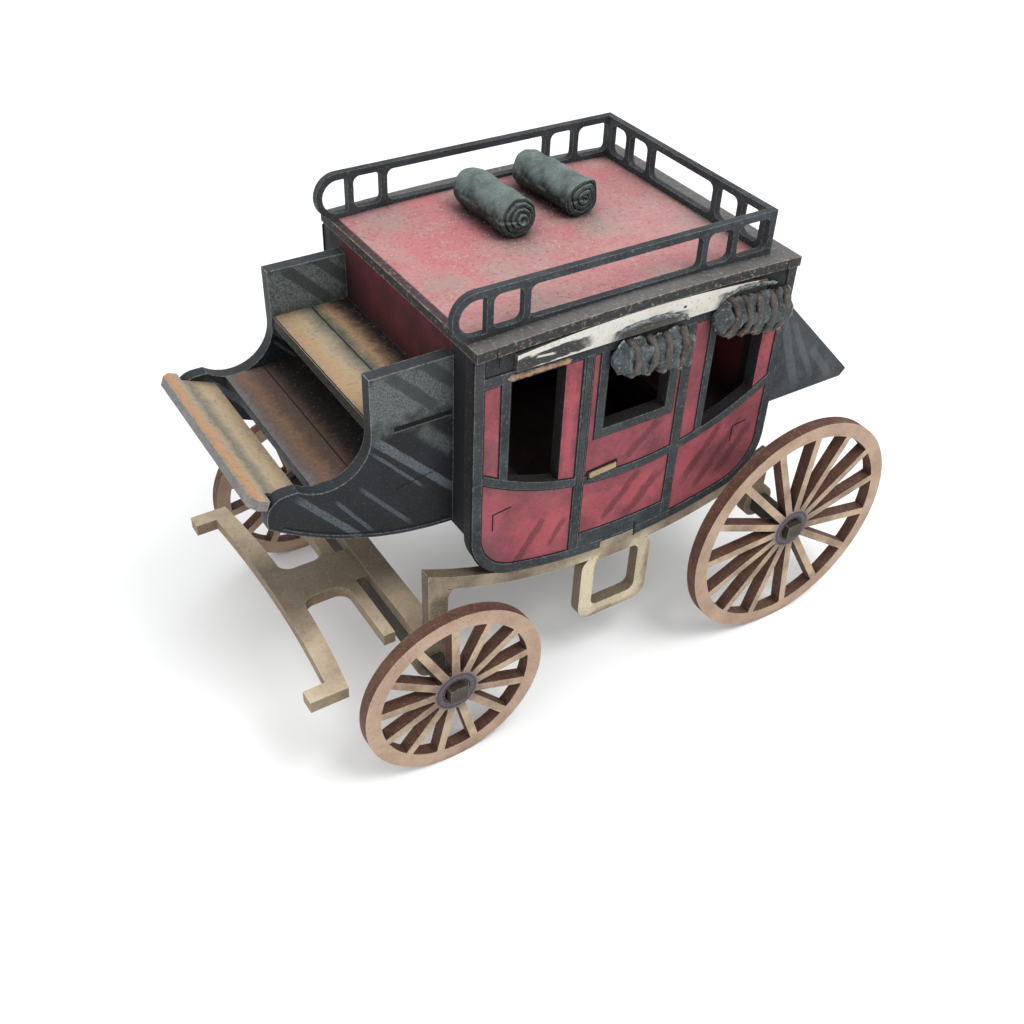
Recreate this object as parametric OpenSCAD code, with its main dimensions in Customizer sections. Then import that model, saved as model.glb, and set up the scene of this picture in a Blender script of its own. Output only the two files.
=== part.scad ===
// Tabletop model of a Concord-type stagecoach, built from flat cut sheet.
// +X points to where the horses would be, +Y to the coach's left, +Z up.
// The origin is on the ground below the middle of the whole model. Sizes are in
// millimetres. Lengths are worked out from the front axle, and coach_frame() moves
// each piece from there into the model's frame.

/* [Sheets] */
// Thickness of the main sheet: wheels, sides, chassis
sheet_t = 1.5; // [1:0.1:2]
// Thickness of the planks: seat, floor, footboard
board_t = 1.3; // [1:0.1:1.8]
// Thickness of the letterboard glued on the side
skin_t = 0.5; // [0.4:0.1:0.8]

/* [Wheels] */
// Radius of a rear wheel
rear_wheel_r = 15; // [12:0.5:18]
// Radius of a front wheel
front_wheel_r = 11; // [9:0.5:13.5]
// Distance from the front axle to the rear axle
wheelbase = 47; // [42:0.5:60]
// Outer face of a front wheel from the middle of the coach
front_wheel_y = 21.5; // [20.5:0.25:26]
// Outer face of a rear wheel from the middle of the coach
rear_wheel_y = 22.5; // [20.5:0.25:27]
// Width of the rim, seen from the side
rim_w = 1.8; // [1.4:0.1:2.4]
// Width of a spoke
spoke_w = 0.95; // [0.7:0.05:1.2]
// Radius of the hub
hub_r = 2.7; // [2.3:0.1:3.2]
// Radius of the hub's bore
bore_r = 1.5; // [1.2:0.05:1.8]
// Spokes in a front wheel
front_spokes = 13; // [8:1:16]
// Spokes in a rear wheel
rear_spokes = 15; // [8:1:18]

/* [Axles] */
// Thickness of an axle beam, two sheets glued together
axle_t = 2.2; // [1.6:0.1:2.4]
// Height of an axle beam between the chassis plates
axle_h = 3.2; // [2.6:0.1:4]
// Height of the tab at an axle's end
tab_h = 1.9; // [1.4:0.1:2.2]
// How far a tab stands out of its wheel
tab_out = 0.7; // [0.3:0.1:1.5]

/* [Body] */
// Length of the passenger body
body_l = 40.4; // [36:0.2:50]
// Width of the passenger body over its side plates
body_w = 32.6; // [29:0.2:36]
// Gap from the front axle back to the body's front
body_setback = 4.65; // [2:0.05:8]
// Height of the lowest point of the body
body_z = 18.2; // [17.5:0.1:24]
// Height of the roof's top at mid length
roof_z = 50.3; // [48:0.1:56]
// How much the roof's ends are lower than its middle
camber = 0.5; // [0.3:0.1:1.6]
// Thickness of the roof
roof_t = 1.1; // [0.8:0.1:1.6]
// Roof edge beyond each side plate
roof_lip = 0.5; // [0.3:0.1:1.5]
// Radius of the body's lower corners
corner_r = 6.5; // [4:0.1:8]

/* [Windows and belt] */
// Lowest height of the belt moulding's middle line
belt_z = 28.8; // [27:0.1:31]
// How much the belt rises from its lowest point to the body's ends
belt_rise = 5.9; // [3:0.1:7]
// Width of the belt moulding
belt_w = 1; // [0.8:0.1:1.4]
// Height of the windows' top edge
window_top = 45.3; // [42:0.1:46]
// Width of the front window
front_window_w = 6.6; // [5:0.1:7.2]
// Distance from the body's front to the front window
front_inset = 4.1; // [3:0.1:5]
// Width of the rear window
rear_window_w = 7.2; // [5:0.1:7.6]
// Distance from the body's rear to the rear window
rear_inset = 3.1; // [2.8:0.1:5]
// Width of the door
door_w = 12; // [10.5:0.1:13.5]
// Width of the door's window
door_window_w = 8.4; // [7:0.1:9]
// Height of the lower edge of the door's window
door_window_z = 35.6; // [33:0.1:38]

/* [Driver's box] */
// Width of the driver's box over its sides
box_w = 25; // [21:0.2:28]
// Reach of the box's nose ahead of the front axle
nose_x = 15.7; // [14:0.1:19]
// Height of the box sides' top
box_top = 47.4; // [45:0.1:48.5]
// Height of the nose's top
nose_top = 37.3; // [36:0.1:39]
// Front edge of the seat
seat_x = 4.3; // [3:0.1:6]
// Height of the seat's top
seat_z = 42; // [39:0.1:43]
// Height of the footwell floor's top
foot_z = 36.3; // [35:0.1:37.5]
// Front edge of the footwell floor
floor_x = 10.4; // [9:0.1:12]
// Width of the footboard, front edge to back edge
footboard_w = 5.6; // [4.5:0.1:7]
// Slope of the footboard in degrees
footboard_tilt = 22; // [10:1:35]

/* [Luggage rail] */
// Height of the rail above the middle of the roof
rail_h = 4.7; // [3.5:0.1:6]
// Width of the rail's bars and posts
rail_bar = 0.75; // [0.6:0.05:1.2]
// Thickness of the rail's sheet
rail_t = 0.8; // [0.6:0.1:1.4]
// Outer face of the side rails from the middle of the coach
rail_y = 14.9; // [13:0.1:16]
// Reach of the side rails ahead of the body's front
rail_reach = 1.6; // [0:0.1:4]
// Distance from the body's rear to the rear rail
rail_back = 2.9; // [1:0.1:5]

/* [Chassis] */
// Height of the curved chassis bar under the body
bar_h = 1.6; // [1.2:0.1:2.4]
// Width of the legs that carry the axles
leg_w = 2.4; // [2:0.1:3.4]
// Width of the step loop under a door
step_w = 10; // [8:0.1:12]
// Height of the lowest point of the step loop
step_z = 7.6; // [5:0.1:11]
// Width of the strip that forms the step loop
step_bar = 1.8; // [1.2:0.1:2.2]

/* [Splinter bar] */
// Height of the splinter bar's top
splinter_z = 13.6; // [12.8:0.1:14.4]
// Length of the splinter bar, side to side
splinter_w = 34.6; // [30:0.2:40]
// Reach of the trace tabs ahead of the front axle
tab_reach = 15.2; // [14:0.1:20]
// Width of a trace tab
trace_tab_w = 1.9; // [1.4:0.1:2.6]

/* [Rear boot] */
// Length of the boot behind the body
boot_l = 14.9; // [10:0.1:18]
// Height of the boot's bottom
boot_z = 28.8; // [27:0.1:33]
// Height of the boot's top where it meets the body
boot_top = 44.6; // [41:0.1:46]
// Distance from a side plate's outer face in to the boot's side
boot_inset = 2; // [1.5:0.1:4]

/* [Luggage and curtains] */
// Radius of a bedroll
roll_r = 2.2; // [1.5:0.1:2.6]
// Length of a bedroll
roll_l = 11; // [8:0.5:14]
// Depth of a rolled curtain
curtain_d = 2; // [1.4:0.1:2.6]
// Height of a rolled curtain
curtain_h = 4.8; // [3:0.1:5.4]

/* [Hidden] */
$fn = 96;
fine = 720;             // facets of the long flat curves
play = 0.08;            // running clearance, tab to bore, on the radius
eps = 0.01;

body_front = -body_setback;
body_back = body_front - body_l;
mid_x = (body_front + body_back) / 2;
half_w = body_w / 2;
inner_y = half_w - sheet_t;
box_y = box_w / 2 - sheet_t;      // inner face of the driver's box sides
rear_x = -wheelbase;

// Footboard: a tilted plank just ahead of the footwell floor
footboard_gap = 1.65;             // open gap behind the board
footboard_t = board_t - 0.2;
footboard_x = floor_x + footboard_gap;
front_tip = max(footboard_x + footboard_w * cos(footboard_tilt), tab_reach);
rear_tip = min(rear_x - rear_wheel_r, body_back - boot_l);
front_x = -(front_tip + rear_tip) / 2;

module coach_frame() translate([front_x, 0, 0]) children();

// Long curves that the plates share, as circles in the side view
roof_curve_r = pow(body_l / 2, 2) / (2 * camber) + camber / 2;
roof_curve_z = roof_z - roof_curve_r;
keel_r = 60;                      // lower edge of the body, upper edge of the chassis
keel_z = body_z + keel_r;
belt_r = pow(body_l / 2, 2) / (2 * belt_rise) + belt_rise / 2;
belt_curve_z = belt_z + belt_r;
sill_r = belt_r - belt_w / 2;     // lower edge of the front and rear windows

function roof_at(x) = roof_curve_z + sqrt(pow(roof_curve_r, 2) - pow(x - mid_x, 2));
function keel_at(x) = keel_z - sqrt(pow(keel_r, 2) - pow(x - mid_x, 2));

// A flat plate drawn in the side view (x, z), its left face at y
module side_plate(y, t) coach_frame() translate([0, y, 0]) rotate([90, 0, 0]) linear_extrude(t) children();
// The same plate on the coach's right
module right_side() mirror([0, 1, 0]) children();

module rounded_box2d(w, h, r) {
  square([w, h - 2 * r], center = true);
  square([w - 2 * r, h], center = true);
  for (sx = [-1, 1], sz = [-1, 1])
    translate([sx * (w / 2 - r), sz * (h / 2 - r)]) circle(r, $fn = 48);
}

// ---- Wheels and axles ----

module wheel(x, y, r, spokes, turn) {
  hub_in = hub_r - 0.2;
  rim_in = r - rim_w;
  color("#c9ad95") coach_frame()
  translate([x, y, r]) rotate([90, 0, 0]) difference() {
    union() {
      difference() {
        cylinder(r = r, h = sheet_t, $fn = 180);
        translate([0, 0, -1]) cylinder(r = rim_in, h = sheet_t + 2, $fn = 180);
      }
      cylinder(r = hub_r, h = sheet_t);
      for (i = [0 : spokes - 1])
        rotate(turn + i * 360 / spokes)
          translate([hub_in, -spoke_w / 2, 0]) cube([rim_in - hub_in + 0.3, spoke_w, sheet_t]);
    }
    translate([0, 0, -1]) cylinder(r = bore_r, h = sheet_t + 2);
  }
}

// Beam between the chassis plates, with a narrower tab through each wheel
module axle(x, z, wheel_y, beam_half) {
  color("#8a7a66") coach_frame() {
    translate([x - axle_t / 2, -beam_half, z - axle_h / 2]) cube([axle_t, 2 * beam_half, axle_h]);
    for (s = [-1, 1])
      intersection() {
        translate([x - axle_t / 2, s > 0 ? beam_half - eps : -wheel_y - tab_out, z - tab_h / 2])
          cube([axle_t, wheel_y + tab_out - beam_half + eps, tab_h]);
        translate([x, 0, z]) rotate([90, 0, 0])
          cylinder(r = bore_r - play, h = 2 * (wheel_y + tab_out + 1), center = true);
      }
  }
}

module front_axle() axle(0, front_wheel_r, front_wheel_y, inner_y);
module rear_axle() axle(rear_x, rear_wheel_r, rear_wheel_y, inner_y);

// ---- Chassis ----

module keel_bar2d() {
  intersection() {
    difference() {
      translate([mid_x, keel_z]) circle(r = keel_r + bar_h, $fn = fine);
      translate([mid_x, keel_z]) circle(r = keel_r, $fn = fine);
    }
    translate([rear_x + leg_shift - leg_w / 2, 0]) square([wheelbase - 2 * leg_shift + leg_w, keel_z]);
  }
}

leg_shift = 0.7;                   // legs stand this far in from the axles

// A leg hangs from the bar, with a round inner corner, and ends in a boss at the axle;
// inwards is -1 for the front leg and 1 for the rear one
module leg2d(x, axle_z, inwards) {
  boss_r = axle_t / 2 + 1.1;
  arch = 1.3;
  leg_x = x + inwards * leg_shift;
  corner_x = leg_x + inwards * leg_w / 2;
  corner_z = keel_at(corner_x + inwards * arch) - bar_h + 0.2;
  difference() {
    union() {
      translate([leg_x - leg_w / 2, axle_z]) square([leg_w, keel_at(corner_x) - 0.3 - axle_z]);
      translate([x, axle_z]) circle(r = boss_r);
      difference() {
        translate([corner_x + (inwards < 0 ? -arch : 0), corner_z - arch]) square(arch);
        translate([corner_x + inwards * arch, corner_z - arch]) circle(r = arch, $fn = 48);
      }
    }
    translate([x - axle_t / 2, axle_z - tab_h / 2]) square([axle_t, tab_h]);
  }
}

module step2d() {
  top = keel_at(mid_x) - bar_h;
  loop_h = top - step_z;
  difference() {
    translate([mid_x, step_z + loop_h / 2]) rounded_box2d(step_w, loop_h + 1, 2);
    translate([mid_x, step_z - 0.5 + step_bar + (loop_h - step_bar) / 2])
      rounded_box2d(step_w - 2 * step_bar, loop_h - step_bar, 1);
  }
}

module chassis_side2d() {
  keel_bar2d();
  leg2d(0, front_wheel_r, -1);
  leg2d(rear_x, rear_wheel_r, 1);
  step2d();
}

module chassis_side_left() color("#b9a98c") side_plate(half_w, sheet_t) chassis_side2d();
module chassis_side_right() right_side() chassis_side_left();

// Flat plates that tie the two chassis plates together
module cross_plate(x0, x1, z)
  color("#b9a98c") coach_frame() translate([x0, -inner_y, z]) cube([x1 - x0, 2 * inner_y, sheet_t]);
module front_cross_plate() cross_plate(-1.7, axle_t / 2, front_wheel_r + axle_h / 2);
module rear_cross_plate() cross_plate(rear_x - 1.5, rear_x + 1.5, rear_wheel_r + axle_h / 2);

// ---- Splinter bar ----

module splinter2d() {
  bar_front = 11.9;                // front edge of the bar at mid width
  bar_back = 9.5;
  front_r = 160;                   // both edges bow a little to the rear
  back_r = 118;
  neck_w = 5.4;
  strip_x = [2.7, 4.1];            // rear cross strip
  strip_w = 25;
  fillet = 1.6;
  half = splinter_w / 2;
  difference() {
    intersection() {
      translate([bar_back + back_r, 0]) circle(r = back_r, $fn = fine);
      translate([bar_back - 1, -half]) square([6, 2 * half]);
    }
    translate([bar_front + front_r, 0]) circle(r = front_r, $fn = fine);
  }
  for (s = [-1, 1])
    translate([bar_back + 1.6, s > 0 ? half - trace_tab_w : -half])
      square([tab_reach - bar_back - 1.6, trace_tab_w]);
  translate([axle_t / 2, -neck_w / 2]) square([bar_back + 0.6 - axle_t / 2, neck_w]);
  translate([strip_x[0], -strip_w / 2]) square([strip_x[1] - strip_x[0], strip_w]);
  for (s = [-1, 1], end = [0, 1])
    translate([end == 0 ? strip_x[1] - eps : bar_back + 0.15, s * neck_w / 2])
      mirror([end, 0]) mirror([0, s > 0 ? 0 : 1])
        difference() {
          translate([0, -eps]) square(fillet);
          translate([fillet, fillet - eps]) circle(r = fillet, $fn = 48);
        }
}

module splinter_bar()
  color("#b9a98c") coach_frame() translate([0, 0, splinter_z - sheet_t]) linear_extrude(sheet_t) splinter2d();

// ---- Passenger body ----

// Outline of the side: cambered top, curved bottom, round lower corners
module body_outline2d() {
  cx = body_l / 2 - corner_r;
  cz = keel_z - sqrt(pow(keel_r - corner_r, 2) - cx * cx);
  lean = asin(cx / (keel_r - corner_r));
  intersection() {
    translate([body_back, 0]) square([body_l, roof_z]);
    translate([mid_x, roof_curve_z]) circle(r = roof_curve_r - roof_t, $fn = fine);
    difference() {
      translate([mid_x, keel_z]) circle(r = keel_r, $fn = fine);
      for (s = [-1, 1])
        translate([mid_x + s * cx, cz]) mirror([s > 0 ? 0 : 1, 0])
          difference() {
            polygon([[0, 0], [3 * corner_r, 0], [3 * corner_r, -3 * corner_r],
                     [3 * corner_r * sin(lean), -3 * corner_r * cos(lean)]]);
            circle(r = corner_r);
          }
    }
  }
}

// Front and rear windows have the belt's curve as their sill
module side_window2d(x0, w) {
  intersection() {
    translate([x0, belt_z]) square([w, window_top - belt_z]);
    translate([mid_x, belt_curve_z]) circle(r = sill_r, $fn = fine);
  }
}

module windows2d() {
  side_window2d(body_front - front_inset - front_window_w, front_window_w);
  side_window2d(body_back + rear_inset, rear_window_w);
  translate([mid_x - door_window_w / 2, door_window_z])
    square([door_window_w, window_top - door_window_z]);
}

module body_side_left()
  color("#9c3a42") side_plate(half_w, sheet_t) difference() {
    body_outline2d();
    windows2d();
  }
module body_side_right() right_side() body_side_left();

// Letterboard: a long strip with an arched top, glued on above the windows
module letterboard_left() {
  board_l = body_l - 9;
  board_z = [46.5, 49.15];         // lower edge, top at mid length
  arch_r = 144;
  color("#d9d6c8") side_plate(half_w + skin_t, skin_t) intersection() {
    translate([mid_x - board_l / 2, board_z[0]]) square([board_l, 5]);
    translate([mid_x, board_z[1] - arch_r]) circle(r = arch_r, $fn = fine);
  }
}
module letterboard_right() right_side() letterboard_left();

wall_foot = keel_z - sqrt(pow(keel_r - corner_r, 2) - pow(body_l / 2 - corner_r, 2));
floor_half = 14.6;                 // half length of the flat floor
floor_z = keel_at(mid_x + floor_half) + 0.4;

// End walls stand between the sides, under the roof's curve
module end_wall2d(x)
  intersection() {
    translate([x, wall_foot]) square([sheet_t, roof_z]);
    translate([mid_x, roof_curve_z]) circle(r = roof_curve_r - roof_t, $fn = fine);
  }
module front_wall() color("#3a2e30") side_plate(inner_y, 2 * inner_y) end_wall2d(body_front - sheet_t);
module rear_wall() color("#3a2e30") side_plate(inner_y, 2 * inner_y) end_wall2d(body_back);

module body_floor()
  color("#4a3a34") coach_frame() translate([mid_x - floor_half, -inner_y, floor_z])
    cube([2 * floor_half, 2 * inner_y, board_t]);

// Sloping boards close the body between the floor and the end walls
module toe_board2d()
  polygon([[floor_half, floor_z], [floor_half, floor_z + board_t],
           [body_l / 2 - sheet_t, wall_foot], [body_l / 2, wall_foot]]);
module toe_board_front()
  color("#3a2e30") side_plate(inner_y, 2 * inner_y) translate([mid_x, 0]) toe_board2d();
module toe_board_rear()
  color("#3a2e30") side_plate(inner_y, 2 * inner_y) translate([mid_x, 0]) mirror([1, 0]) toe_board2d();

// Benches for the passengers
bench_d = 7;
bench_z = 28;
module bench_front()
  color("#5a4a40") coach_frame() translate([body_front - sheet_t - bench_d, -inner_y, bench_z])
    cube([bench_d, 2 * inner_y, board_t]);
module bench_rear()
  color("#5a4a40") coach_frame() translate([body_back + sheet_t, -inner_y, bench_z])
    cube([bench_d, 2 * inner_y, board_t]);

module roof_panel()
  color("#b0505a") side_plate(half_w + roof_lip, body_w + 2 * roof_lip) intersection() {
    translate([body_back, 0]) square([body_l, roof_z + 1]);
    difference() {
      translate([mid_x, roof_curve_z]) circle(r = roof_curve_r, $fn = fine);
      translate([mid_x, roof_curve_z]) circle(r = roof_curve_r - roof_t, $fn = fine);
    }
  }

// ---- Luggage rail ----

// Side rail: posts stand at these distances from the rail's rear and front ends
rear_side_posts = [5.4, 9.4];
front_side_posts = [8.2, 4.1];
rail_top = roof_z + rail_h;
rail_sill = roof_z + rail_bar / 2;   // lower edge of the open cells
cell_r = 0.8;                        // their round corners
module rail_cells(edges)
  for (i = [0 : len(edges) - 2])
    translate([(edges[i] + edges[i + 1]) / 2, (rail_sill + rail_top - rail_bar) / 2])
      rounded_box2d(edges[i + 1] - edges[i] - rail_bar, rail_top - rail_bar - rail_sill, cell_r);

module rail_side2d() {
  x0 = body_back + rail_back;
  x1 = body_front + rail_reach;
  foot = roof_at(x1);               // the front end is a half round from here up
  end_r = (rail_top - foot) / 2;
  edges = concat([rail_bar / 2], rear_side_posts, [for (d = front_side_posts) x1 - x0 - d]);
  front_post = x1 - front_side_posts[1] + rail_bar / 2;
  intersection() {
    difference() {
      translate([x0, 0]) square([x1 - x0, rail_top]);
      translate([mid_x, roof_curve_z]) circle(r = roof_curve_r, $fn = fine);
      translate([x0, 0]) rail_cells(edges);
      // the front cell ends in the same half round
      intersection() {
        translate([front_post, foot + rail_bar]) square([x1 - front_post, 2 * (end_r - rail_bar)]);
        union() {
          translate([front_post - 1, foot + rail_bar])
            square([x1 - end_r - front_post + 1, 2 * (end_r - rail_bar)]);
          translate([x1 - end_r, foot + end_r]) circle(r = end_r - rail_bar);
        }
      }
    }
    union() {
      translate([x0, 0]) square([x1 - x0 - end_r, rail_top]);
      translate([x1 - end_r, foot + end_r]) circle(r = end_r);
    }
  }
}
module rail_left() color("#3a3f42") side_plate(rail_y, rail_t) rail_side2d();
module rail_right() right_side() rail_left();

// Rear rail, between the side rails: posts at these distances from the middle
rear_posts = [5.9, 10];
module rail_rear() {
  span = rail_y - rail_t;
  base = roof_at(body_back + rail_back + rail_t);
  edges = [-span + rail_bar / 2, -rear_posts[1], -rear_posts[0], rear_posts[0], rear_posts[1],
           span - rail_bar / 2];
  color("#3a3f42") coach_frame() translate([body_back + rail_back, 0, 0])
    rotate([90, 0, 90]) linear_extrude(rail_t) difference() {
      translate([-span, base]) square([2 * span, rail_top - base]);
      rail_cells(edges);
    }
}

// ---- Driver's box ----

module box_side2d() {
  belly_r = 36;
  belly_x = -6;
  well_r = 4.8;
  well_x = 9.25;
  well_z = 41;
  nose_r = 2.2;
  intersection() {
    translate([belly_x, 26.8 + belly_r]) circle(r = belly_r, $fn = 360);
    difference() {
      union() {
        translate([body_front, 20]) square([well_x - well_r - body_front, box_top - 20]);
        translate([body_front, 20]) square([nose_x - nose_r - body_front, nose_top - 20]);
        translate([body_front, 20]) square([nose_x - body_front, nose_top - nose_r - 20]);
        translate([nose_x - nose_r, nose_top - nose_r]) circle(r = nose_r);
        translate([well_x - well_r, 20]) square([well_r, well_z - 20]);
      }
      translate([well_x, well_z]) circle(r = well_r);
    }
  }
}
module box_side_left() color("#2e3238") side_plate(box_w / 2, sheet_t) box_side2d();
module box_side_right() right_side() box_side_left();

module plank(x0, x1, z, c)
  color(c) coach_frame() translate([x0, -box_y, z - board_t]) cube([x1 - x0, 2 * box_y, board_t]);
module driver_seat() plank(body_front, seat_x, seat_z, "#b79a78");
module footwell_floor() plank(body_front, floor_x, foot_z, "#6e5a50");

// The board's front part is as wide as the box and passes over the two noses
module footboard() {
  chamfer = 0.8;
  notch = 3.8;                      // length of the part between the box sides
  wide = box_w / 2;
  color("#b79a78") coach_frame() translate([footboard_x, 0, foot_z - board_t - 0.1])
    rotate([0, -footboard_tilt, 0]) linear_extrude(footboard_t) polygon([
      [0, -box_y], [notch, -box_y], [notch, -wide], [footboard_w - chamfer, -wide],
      [footboard_w, chamfer - wide], [footboard_w, wide - chamfer], [footboard_w - chamfer, wide],
      [notch, wide], [notch, box_y], [0, box_y]]);
}

// ---- Rear boot ----

module boot_side2d()
  polygon([[body_back, boot_z], [body_back, boot_top],
           [body_back - boot_l, boot_z + 0.9], [body_back - boot_l + 0.8, boot_z]]);
boot_out = half_w - boot_inset;
boot_in = boot_out - board_t;
module boot_side_left() color("#4a4d50") side_plate(boot_out, board_t) boot_side2d();
module boot_side_right() right_side() boot_side_left();
module boot_floor()
  color("#4a4d50") coach_frame() translate([body_back - boot_l + 3, -boot_in, boot_z])
    cube([boot_l - 3, 2 * boot_in, board_t]);
// Sloping cover of the boot, between its sides
module boot_cover() {
  slope = (boot_top - boot_z - 0.9) / boot_l;
  drop = board_t * sqrt(1 + slope * slope);
  color("#4a4d50") side_plate(boot_in, 2 * boot_in) polygon([
    [body_back, boot_top], [body_back - boot_l, boot_z + 0.9], [body_back - boot_l + 0.8, boot_z],
    [body_back - boot_l + 3 - eps, boot_z], [body_back - boot_l + 3 - eps, boot_z + 0.9 + 3 * slope - drop],
    [body_back, boot_top - drop]]);
}

// ---- Curtains and bedrolls ----

// A rolled curtain hangs on the letterboard: a flat roll, lower at its rear end
module curtain(x, z, l) {
  tilt = 7;
  r = curtain_d / 2;
  color("#4a4a44") coach_frame() translate([x, half_w + skin_t + r, z]) rotate([0, -tilt, 0])
    rotate([0, 90, 0]) linear_extrude(l, center = true) {
      square([curtain_h - curtain_d, curtain_d], center = true);
      for (s = [-1, 1]) translate([s * (curtain_h - curtain_d) / 2, 0]) circle(r = r);
    }
}
curtain_z = window_top + 0.2;
front_window_x = body_front - front_inset - front_window_w / 2;
rear_window_x = body_back + rear_inset + rear_window_w / 2;
module curtain_door_left() curtain(mid_x, curtain_z - 1.1, 9.2);
module curtain_rear_left() curtain(rear_window_x, curtain_z, 9.4);
module curtain_front_right() right_side() curtain(front_window_x, curtain_z, 9.2);
module curtain_door_right() right_side() curtain_door_left();
module curtain_rear_right() right_side() curtain_rear_left();

module bedroll(x, y, turn)
  color("#3f524e") coach_frame() translate([x, y, roof_at(x) + roll_r + eps])
    rotate([0, 0, turn]) rotate([90, 0, 0])
    cylinder(r = roll_r, h = roll_l, center = true);
module bedroll_front() bedroll(mid_x + 4.9, -6, -2);
module bedroll_rear() bedroll(mid_x - 3.7, -7, -5);

module wheel_front_left() wheel(0, front_wheel_y, front_wheel_r, front_spokes, 5.8);
module wheel_front_right() right_side() wheel(0, front_wheel_y, front_wheel_r, front_spokes, 20);
module wheel_rear_left() wheel(rear_x, rear_wheel_y, rear_wheel_r, rear_spokes, 23);
module wheel_rear_right() right_side() wheel(rear_x, rear_wheel_y, rear_wheel_r, rear_spokes, 3);

wheel_front_left();
wheel_front_right();
wheel_rear_left();
wheel_rear_right();
front_axle();
rear_axle();
splinter_bar();
front_cross_plate();
rear_cross_plate();
chassis_side_left();
chassis_side_right();
body_side_left();
body_side_right();
body_floor();
front_wall();
rear_wall();
toe_board_front();
toe_board_rear();
bench_front();
bench_rear();
roof_panel();
letterboard_left();
letterboard_right();
rail_left();
rail_right();
rail_rear();
box_side_left();
box_side_right();
driver_seat();
footwell_floor();
footboard();
boot_side_left();
boot_side_right();
boot_cover();
boot_floor();
curtain_door_left();
curtain_rear_left();
curtain_front_right();
curtain_door_right();
curtain_rear_right();
bedroll_front();
bedroll_rear();
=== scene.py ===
import bpy, bmesh, math
from mathutils import Matrix, Vector, noise


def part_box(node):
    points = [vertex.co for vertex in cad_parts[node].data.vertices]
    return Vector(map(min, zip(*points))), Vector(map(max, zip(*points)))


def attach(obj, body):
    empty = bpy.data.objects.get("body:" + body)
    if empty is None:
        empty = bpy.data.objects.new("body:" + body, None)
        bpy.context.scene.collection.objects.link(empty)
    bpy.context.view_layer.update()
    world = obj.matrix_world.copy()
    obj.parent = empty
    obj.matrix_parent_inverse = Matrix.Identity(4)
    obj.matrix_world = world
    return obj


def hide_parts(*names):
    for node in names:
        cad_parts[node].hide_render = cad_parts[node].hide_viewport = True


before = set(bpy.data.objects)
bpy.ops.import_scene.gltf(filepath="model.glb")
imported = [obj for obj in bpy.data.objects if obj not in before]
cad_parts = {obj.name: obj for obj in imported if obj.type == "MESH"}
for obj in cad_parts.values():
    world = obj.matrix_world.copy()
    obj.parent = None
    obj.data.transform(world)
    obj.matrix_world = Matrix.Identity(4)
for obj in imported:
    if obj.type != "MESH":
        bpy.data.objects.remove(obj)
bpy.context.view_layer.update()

mm = 0.001
leftSide, rightSide = 1, -1


def centreOf(node):
    low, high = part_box(node)
    return (Vector(low) + Vector(high)) / 2


# all lengths below are in mm: x is measured from the front axle, z from the ground
axleX = centreOf("front_axle").x / mm
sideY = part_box("body_side_left")[1][1] / mm      # outer face of the left side plate
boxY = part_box("box_side_left")[1][1] / mm        # outer face of the driver's box
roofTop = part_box("roof_panel")[1][2] / mm
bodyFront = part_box("body_side_left")[1][0] / mm - axleX
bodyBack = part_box("body_side_left")[0][0] / mm - axleX
bodyMid = (bodyFront + bodyBack) / 2


def place(x, y, z):
    return Vector(((x + axleX) * mm, y * mm, z * mm))


# ---- nodes and materials

def hexColor(text):
    # sRGB hex to the linear colour that the shaders take
    parts = [int(text[i:i + 2], 16) / 255 for i in (1, 3, 5)]
    return tuple(c / 12.92 if c <= 0.04045 else ((c + 0.055) / 1.055) ** 2.4 for c in parts) + (1.0,)


def addNode(tree, kind, settings=None, values=None):
    # values: a list for the inputs in order, or a dictionary; a node stands for its first output
    node = tree.nodes.new(kind)
    for key, value in (settings or {}).items():
        setattr(node, key, value)
    for key, value in enumerate(values) if isinstance(values, list) else (values or {}).items():
        if isinstance(value, bpy.types.Node):
            value = value.outputs[0]
        if isinstance(value, bpy.types.NodeSocket):
            tree.links.new(value, node.inputs[key])
        else:
            node.inputs[key].default_value = value
    return node


def smoothZone(tree, value, low, high, soft):
    # 1 between low and high, fading over soft on either side
    rise = addNode(tree, "ShaderNodeMapRange", {"interpolation_type": "SMOOTHSTEP"},
                   [value, low - soft, low + soft, 0.0, 1.0])
    fall = addNode(tree, "ShaderNodeMapRange", {"interpolation_type": "SMOOTHSTEP"},
                   [value, high - soft, high + soft, 1.0, 0.0])
    return addNode(tree, "ShaderNodeMath", {"operation": "MULTIPLY"}, [rise, fall]).outputs[0]


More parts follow.
